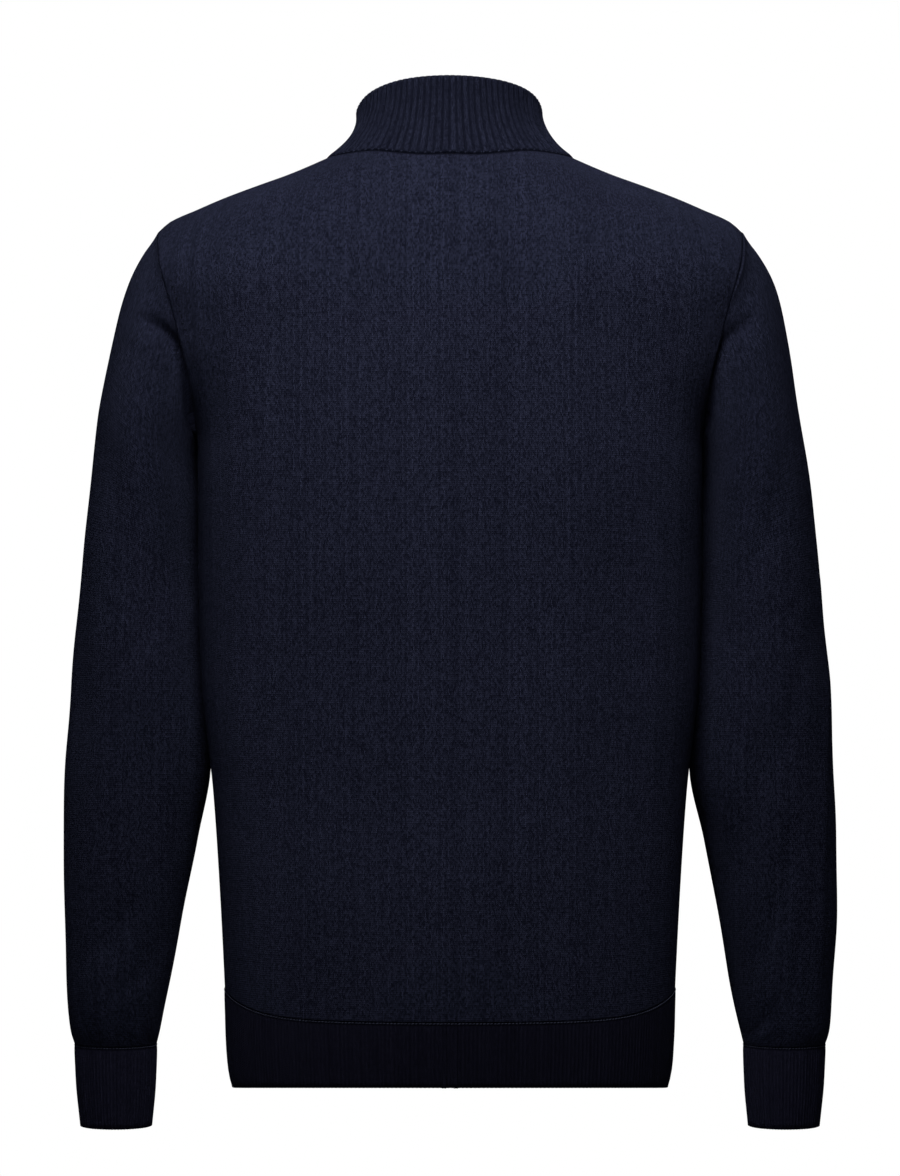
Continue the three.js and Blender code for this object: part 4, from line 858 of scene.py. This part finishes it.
def repeated(name, tree_and_names, lines, values, finish):
    """A plain mesh of the elements that a tree sets along `lines`: points, lay and out for each line."""
    tree, names = tree_and_names
    points = np.concatenate([line[0] for line in lines])
    edges, start = [], 0
    for line in lines:
        edges += [(start + i, start + i + 1) for i in range(len(line[0]) - 1)]
        start += len(line[0])
    mesh = bpy.data.meshes.new(name + "_line")
    mesh.from_pydata((points * MM).tolist(), edges, [])
    for key, which in (("lay", 1), ("out", 2)):
        values_of = np.concatenate([line[which] for line in lines]).astype(np.float32)
        mesh.attributes.new(key, "FLOAT_VECTOR", "POINT").data.foreach_set("vector", values_of.ravel())
    guide = bpy.data.objects.new(name + "_line", mesh)
    bpy.context.scene.collection.objects.link(guide)
    modifier = guide.modifiers.new("repeat", "NODES")
    modifier.node_group = tree
    for key, value in values.items():
        modifier[names[key]] = value * (1 if key == "Slant" else MM)
    modifier[names["Finish"]] = finish
    made = bpy.data.meshes.new_from_object(guide.evaluated_get(bpy.context.evaluated_depsgraph_get()))
    made.name = name
    guide.modifiers.clear()
    bpy.data.objects.remove(guide)
    for key in ("lay", "out"):
        if key in made.attributes:
            made.attributes.remove(made.attributes[key])
    piece = bpy.data.objects.new(name, made)
    bpy.context.scene.collection.objects.link(piece)
    return piece


def line_of(points, out, lift=0.0, lay=None):
    """A line for the stitches: its points lifted off the cloth, their direction along it, and outwards."""
    points, out = np.asarray(points, float), np.asarray(out, float)
    along = np.gradient(points, axis=0)
    along /= np.maximum(np.linalg.norm(along, axis=1, keepdims=True), 1e-9)
    return points + out * lift, along if lay is None else np.broadcast_to(lay, points.shape), out


def softened(node_name, width, material):
    """A copy of a metal piece with its edges eased."""
    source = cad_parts[node_name]
    mesh = source.data.copy()
    form = bmesh.new()
    form.from_mesh(mesh)
    bmesh.ops.remove_doubles(form, verts=form.verts, dist=1e-6)
    bmesh.ops.dissolve_limit(form, angle_limit=0.02, verts=form.verts, edges=form.edges)
    form.to_mesh(mesh)
    form.free()
    mesh.transform(source.matrix_world)
    mesh.materials.clear()
    mesh.materials.append(material)
    piece = bpy.data.objects.new(node_name + "_finished", mesh)
    bpy.context.scene.collection.objects.link(piece)
    bevel = piece.modifiers.new("eased", "BEVEL")
    bevel.width, bevel.segments, bevel.limit_method, bevel.angle_limit = width * MM, 2, "ANGLE", 0.6
    made = bpy.data.meshes.new_from_object(piece.evaluated_get(bpy.context.evaluated_depsgraph_get()))
    piece.modifiers.clear()
    piece.data = made
    made.name = piece.name
    made.shade_smooth()
    made.set_sharp_from_angle(angle=0.7)
    return piece


knit = knitted("navy_plain_knit", WALE, COURSE, KNIT_FACE, KNIT_GAP_SHADE, 0.32, 1.7)
collar_rib = knitted("navy_collar_rib", 1.53, 1.3, RIB_FACE, RIB_GAP_SHADE, 0.3, 1.5, 0.75)
band_rib = knitted("navy_band_rib", 1.5, 1.3, BAND_FACE, BAND_GAP_SHADE, 0.28, 1.0, 0.35)
cuff_rib = knitted("navy_cuff_rib", 1.5, 1.3, CUFF_FACE, BAND_GAP_SHADE, 0.28, 1.0, 0.35)
seam_yarn = yarn_and_painted_shade("seam_yarn", (0.0095, 0.0108, 0.0205, 1))
pale_yarn = yarn_and_painted_shade("hem_seam_yarn", (0.0165, 0.0182, 0.0300, 1))
mark_hole_shade = yarn_and_painted_shade("fashioning_hole_shade", (0.0022, 0.0026, 0.005, 1))
seam_shadow = yarn_and_painted_shade("seam_gap_shadow", (0.0012, 0.0014, 0.003, 1))
tape_weave = woven_tape("zip_tape_weave")
zip_metal = gunmetal("gunmetal", (0.075, 0.077, 0.085, 1), 0.26)
tooth_metal = gunmetal("tooth_metal", (0.075, 0.075, 0.082, 1), 0.36)

pieces = {}
surfaces = {}
for name in ("back", "front"):
    pieces[name], *surfaces[name] = panel(name, knit)
    pieces["hem_rib_" + name], *surfaces["hem_rib_" + name] = hem_band(name, band_rib)
for name, side in (("left", 1), ("right", -1)):
    pieces["sleeve_" + name], *surfaces["sleeve_" + name] = sleeve(name, side, knit)
    last = surfaces["sleeve_" + name][0][-1]
    pieces["cuff_" + name], *surfaces["cuff_" + name] = cuff(name, side, last, cuff_rib)
    pieces["zip_tape_" + name] = zip_tape(name, side, tape_weave)
pieces["collar"], *surfaces["collar"] = collar(collar_rib)

stitches = repeat_tree("stitch_row", {"Spacing": 0.0024, "Length": 0.0018, "Width": 0.0007, "Height": 0.0005,
                                      "Slant": 0.0}, stitch_element)
teeth = repeat_tree("tooth_row", {"Spacing": 0.0024, "Width": 0.0026, "Height": 0.0012, "Thickness": 0.0024},
                    tooth_element)

back_rows, back_out, first_up, middle = surfaces["back"]
front_rows, front_out = surfaces["front"][:2]
collar_rows, collar_out = surfaces["collar"]

# The seams where the pieces are linked.
seam_rows = {
    "neck_linking": ([line_of(collar_rows[1], collar_out[1], 0.25)], dict(Spacing=2.3, Length=1.9, Width=0.9,
                                                                          Height=0.7, Slant=0.5)),
    "hem_linking": (
        [line_of(rows[0], out[0], 0.3) for rows, out in (surfaces["back"][:2], surfaces["front"][:2])],
        dict(Spacing=2.6, Length=2.2, Width=0.9, Height=0.7, Slant=0.3),
    ),
    "cuff_linking": (
        [line_of(np.concatenate([rows[-1], rows[-1][:1]]), np.concatenate([out[-1], out[-1][:1]]), 0.3)
         for rows, out in (surfaces["sleeve_left"], surfaces["sleeve_right"])],
        dict(Spacing=2.4, Length=2.0, Width=0.8, Height=0.6, Slant=0.3),
    ),
}
armhole_lines = []
for rows, out, column in ((back_rows, back_out, -1), (back_rows, back_out, 0), (front_rows, front_out, -1),
                          (front_rows, front_out, 0)):
    armhole_lines.append(line_of(rows[first_up:, column], out[first_up:, column], -0.3))
seam_rows["armhole_linking"] = (armhole_lines, dict(Spacing=1.8, Length=1.6, Width=1.3, Height=0.5, Slant=0.0))
shoulder_lines = []
for columns in (slice(middle + 33, None), slice(0, middle - 33)):
    shoulder_lines.append(line_of(back_rows[-1, columns], back_out[-1, columns], -0.1))
seam_rows["shoulder_linking"] = (shoulder_lines, dict(Spacing=2.2, Length=1.7, Width=0.7, Height=0.5, Slant=0.0))
# The linking at the hem, the cuffs and the armholes is a paler yarn; at the armholes its paleness is also painted light
# over the seam's dark gap.
for name, (lines, sizes) in seam_rows.items():
    pieces[name] = repeated(name, stitches, lines, sizes, pale_yarn if name[:3] in ("hem", "cuf", "arm") else seam_yarn)
# Dark beads in the small gaps that the linking leaves under the collar: painted shadow.
neck_under = line_of(collar_rows[0] - np.array([0, 0, 0.6]), collar_out[0], 0.2)
pieces["neck_gaps"] = repeated("neck_gaps", stitches, [neck_under],
                               dict(Spacing=5.3, Length=3.4, Width=1.0, Height=0.6, Slant=0.08), seam_shadow)

# The marks beside the armholes, where the knit is narrowed: dark beads, painted shade of the small holes there.
mark_lines = []
for name, turn in (("back", 1), ("front", -1)):
    for side in (-1, 1):
        z = np.linspace(-186, -96, 30)
        x = side * (armhole_x(z) - 6)
        rows = body_points(name, x, z)
        ahead, beside = body_points(name, x, z + 0.5) - rows, body_points(name, x + 0.5, z) - rows
        out = np.cross(beside, ahead)
        out /= np.linalg.norm(out, axis=1, keepdims=True)
        out *= np.sign(out[:, 1:2]) * turn
        mark_lines.append(line_of(rows, out, 0.05))
pieces["fashioning_marks"] = repeated("fashioning_marks", stitches, mark_lines,
                                      dict(Spacing=4.6, Length=1.7, Width=1.2, Height=0.5, Slant=0.5), mark_hole_shade)

# The zip's teeth, on both sides of its centre, and the stitches that hold its tapes.
rows = zip_lines((1.45,), 120)[:, 0]
plane_out = directions(zip_lines((1.3, 6.0), 120), np.array([0, 60, -120]))[:, 0]
plane_out[:, 0] = 0
plane_out /= np.linalg.norm(plane_out, axis=1, keepdims=True)
deep = WALL + TAPE_CLEAR + TAPE_THICK / 2
tooth_lines = []
for side, start in ((1, 0.0), (-1, TOOTH_PITCH / 2)):
    z = np.linspace(ZIP_TEETH_LOW + start, ZIP_TEETH_HIGH, 90)
    centre = rows - plane_out * deep
    points = np.stack([np.full(90, side * 1.55), np.interp(z, centre[:, 2], centre[:, 1]), z], -1)
    out = np.stack([np.interp(z, centre[:, 2], plane_out[:, k]) for k in range(3)], -1)
    tooth_lines.append(line_of(points, out, 0.0, lay=np.array([-side, 0, 0])))
pieces["zip_teeth"] = repeated("zip_teeth", teeth, tooth_lines,
                               dict(Spacing=TOOTH_PITCH, Width=2.5, Height=1.15, Thickness=2.5), tooth_metal)
topstitch_lines = []
beside = zip_lines((9.0, 9.6), 120)
for side in (1, -1):
    mirror = np.array([side, 1, 1])
    out = directions(beside, np.array([0, 60, -120]))
    low = beside[:, 0, 2] > -214
    topstitch_lines.append(line_of((beside * mirror)[low, 0], (out * mirror)[low, 0], 0.15))
pieces["zip_topstitch"] = repeated("zip_topstitch", stitches, topstitch_lines,
                                   dict(Spacing=2.8, Length=2.1, Width=0.5, Height=0.45, Slant=0.0), seam_yarn)

for name in ("zip_slider", "zip_pull_tab", "zip_top_stop_left", "zip_top_stop_right", "zip_bottom_stop"):
    pieces[name] = softened(name, 0.18, zip_metal)

CAD_PIECES = ("back", "front", "hem_rib_back", "hem_rib_front", "sleeve_left", "sleeve_right", "cuff_left",
              "cuff_right", "zip_tape_left", "zip_tape_right", "collar", "zip_slider", "zip_pull_tab",
              "zip_top_stop_left", "zip_top_stop_right", "zip_bottom_stop")
for name, piece in pieces.items():
    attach(piece, "pull_tab" if name == "zip_pull_tab" else "sweater")
    if name in CAD_PIECES:
        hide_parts(name)


def studio():
    """A plain pale floor, soft lights from above, and a pale surround."""
    angle = 2 * math.pi * np.arange(96) / 96
    ring = np.stack([3400 * np.cos(angle), 3400 * np.sin(angle), np.full(96, -1250.0)], -1)
    floor = bare_object("floor", ring, [list(range(96))])
    paint = bpy.data.materials.new("pale_floor")
    paint.use_nodes = True
    shader = paint.node_tree.nodes["Principled BSDF"]
    shader.inputs["Base Color"].default_value = (0.18, 0.18, 0.18, 1)
    shader.inputs["Roughness"].default_value = 0.9
    floor.data.materials.append(paint)

    world = bpy.data.worlds.new("surround")
    bpy.context.scene.world = world
    world.use_nodes = True
    tree = world.node_tree
    where = node(tree, "ShaderNodeTexCoord").outputs["Generated"]
    height = node(tree, "ShaderNodeSeparateXYZ", {0: where}).outputs["Z"]
    off = sums(tree, "ABSOLUTE", height)
    band = node(tree, "ShaderNodeMapRange", {0: off, 1: 0.128, 2: 0.15, 3: 1.0, 4: 0.0}).outputs[0]
    # White behind the sweater, seen from behind or in front, and greyer at its sides.
    along = sums(tree, "ABSOLUTE", node(tree, "ShaderNodeSeparateXYZ", {0: where}).outputs["Y"])
    pale = node(tree, "ShaderNodeMapRange", {0: along, 1: 0.95, 2: 0.988, 3: 0.35, 4: 1.0}).outputs[0]
    band = sums(tree, "MULTIPLY", band, pale)
    # Past the floor's edge the surround goes on about as pale as the floor.
    low = node(tree, "ShaderNodeMapRange", {0: height, 1: -0.24, 2: -0.15, 3: 0.16, 4: 0.02}).outputs[0]
    tree.links.new(sums(tree, "MAXIMUM", band, low), tree.nodes["Background"].inputs["Color"])
    tree.nodes["Background"].inputs["Strength"].default_value = 1.0

    lamps = (
        ("key", (0.07, 0.82, 0.58), (0, 0.08, -0.14), 0.7, 14.8, 95),
        ("front_key", (-0.3, -1.25, 0.9), (0, -0.1, -0.2), 1.0, 52.0, 180),
        ("left_side", (1.6, 0.1, 0.6), (0.2, 0, -0.3), 1.0, 7.5, 180),
        ("right_side", (-1.6, 0.1, 0.6), (-0.2, 0, -0.3), 1.0, 5.0, 180),
    )
    for name, place, aim, size, power, spread in lamps:
        light = bpy.data.lights.new(name, "AREA")
        light.energy, light.size = power, size
        light.spread = math.radians(spread)
        lamp = bpy.data.objects.new(name, light)
        lamp.location = place
        lamp.rotation_euler = (Vector(aim) - Vector(place)).to_track_quat("-Z", "Y").to_euler()
        bpy.context.scene.collection.objects.link(lamp)


def camera():
    """The photograph's view, from behind at the height of the waist."""
    lens = bpy.data.cameras.new("camera")
    lens.lens, lens.sensor_width = 143.0, 36.0
    view = bpy.data.objects.new("camera", lens)
    view.location = (0.0, 3.5, -0.3225)
    view.rotation_euler = (math.pi / 2, 0.0, math.pi)
    bpy.context.scene.collection.objects.link(view)
    bpy.context.scene.camera = view


studio()
camera()
bpy.context.scene.view_settings.view_transform = "Standard"
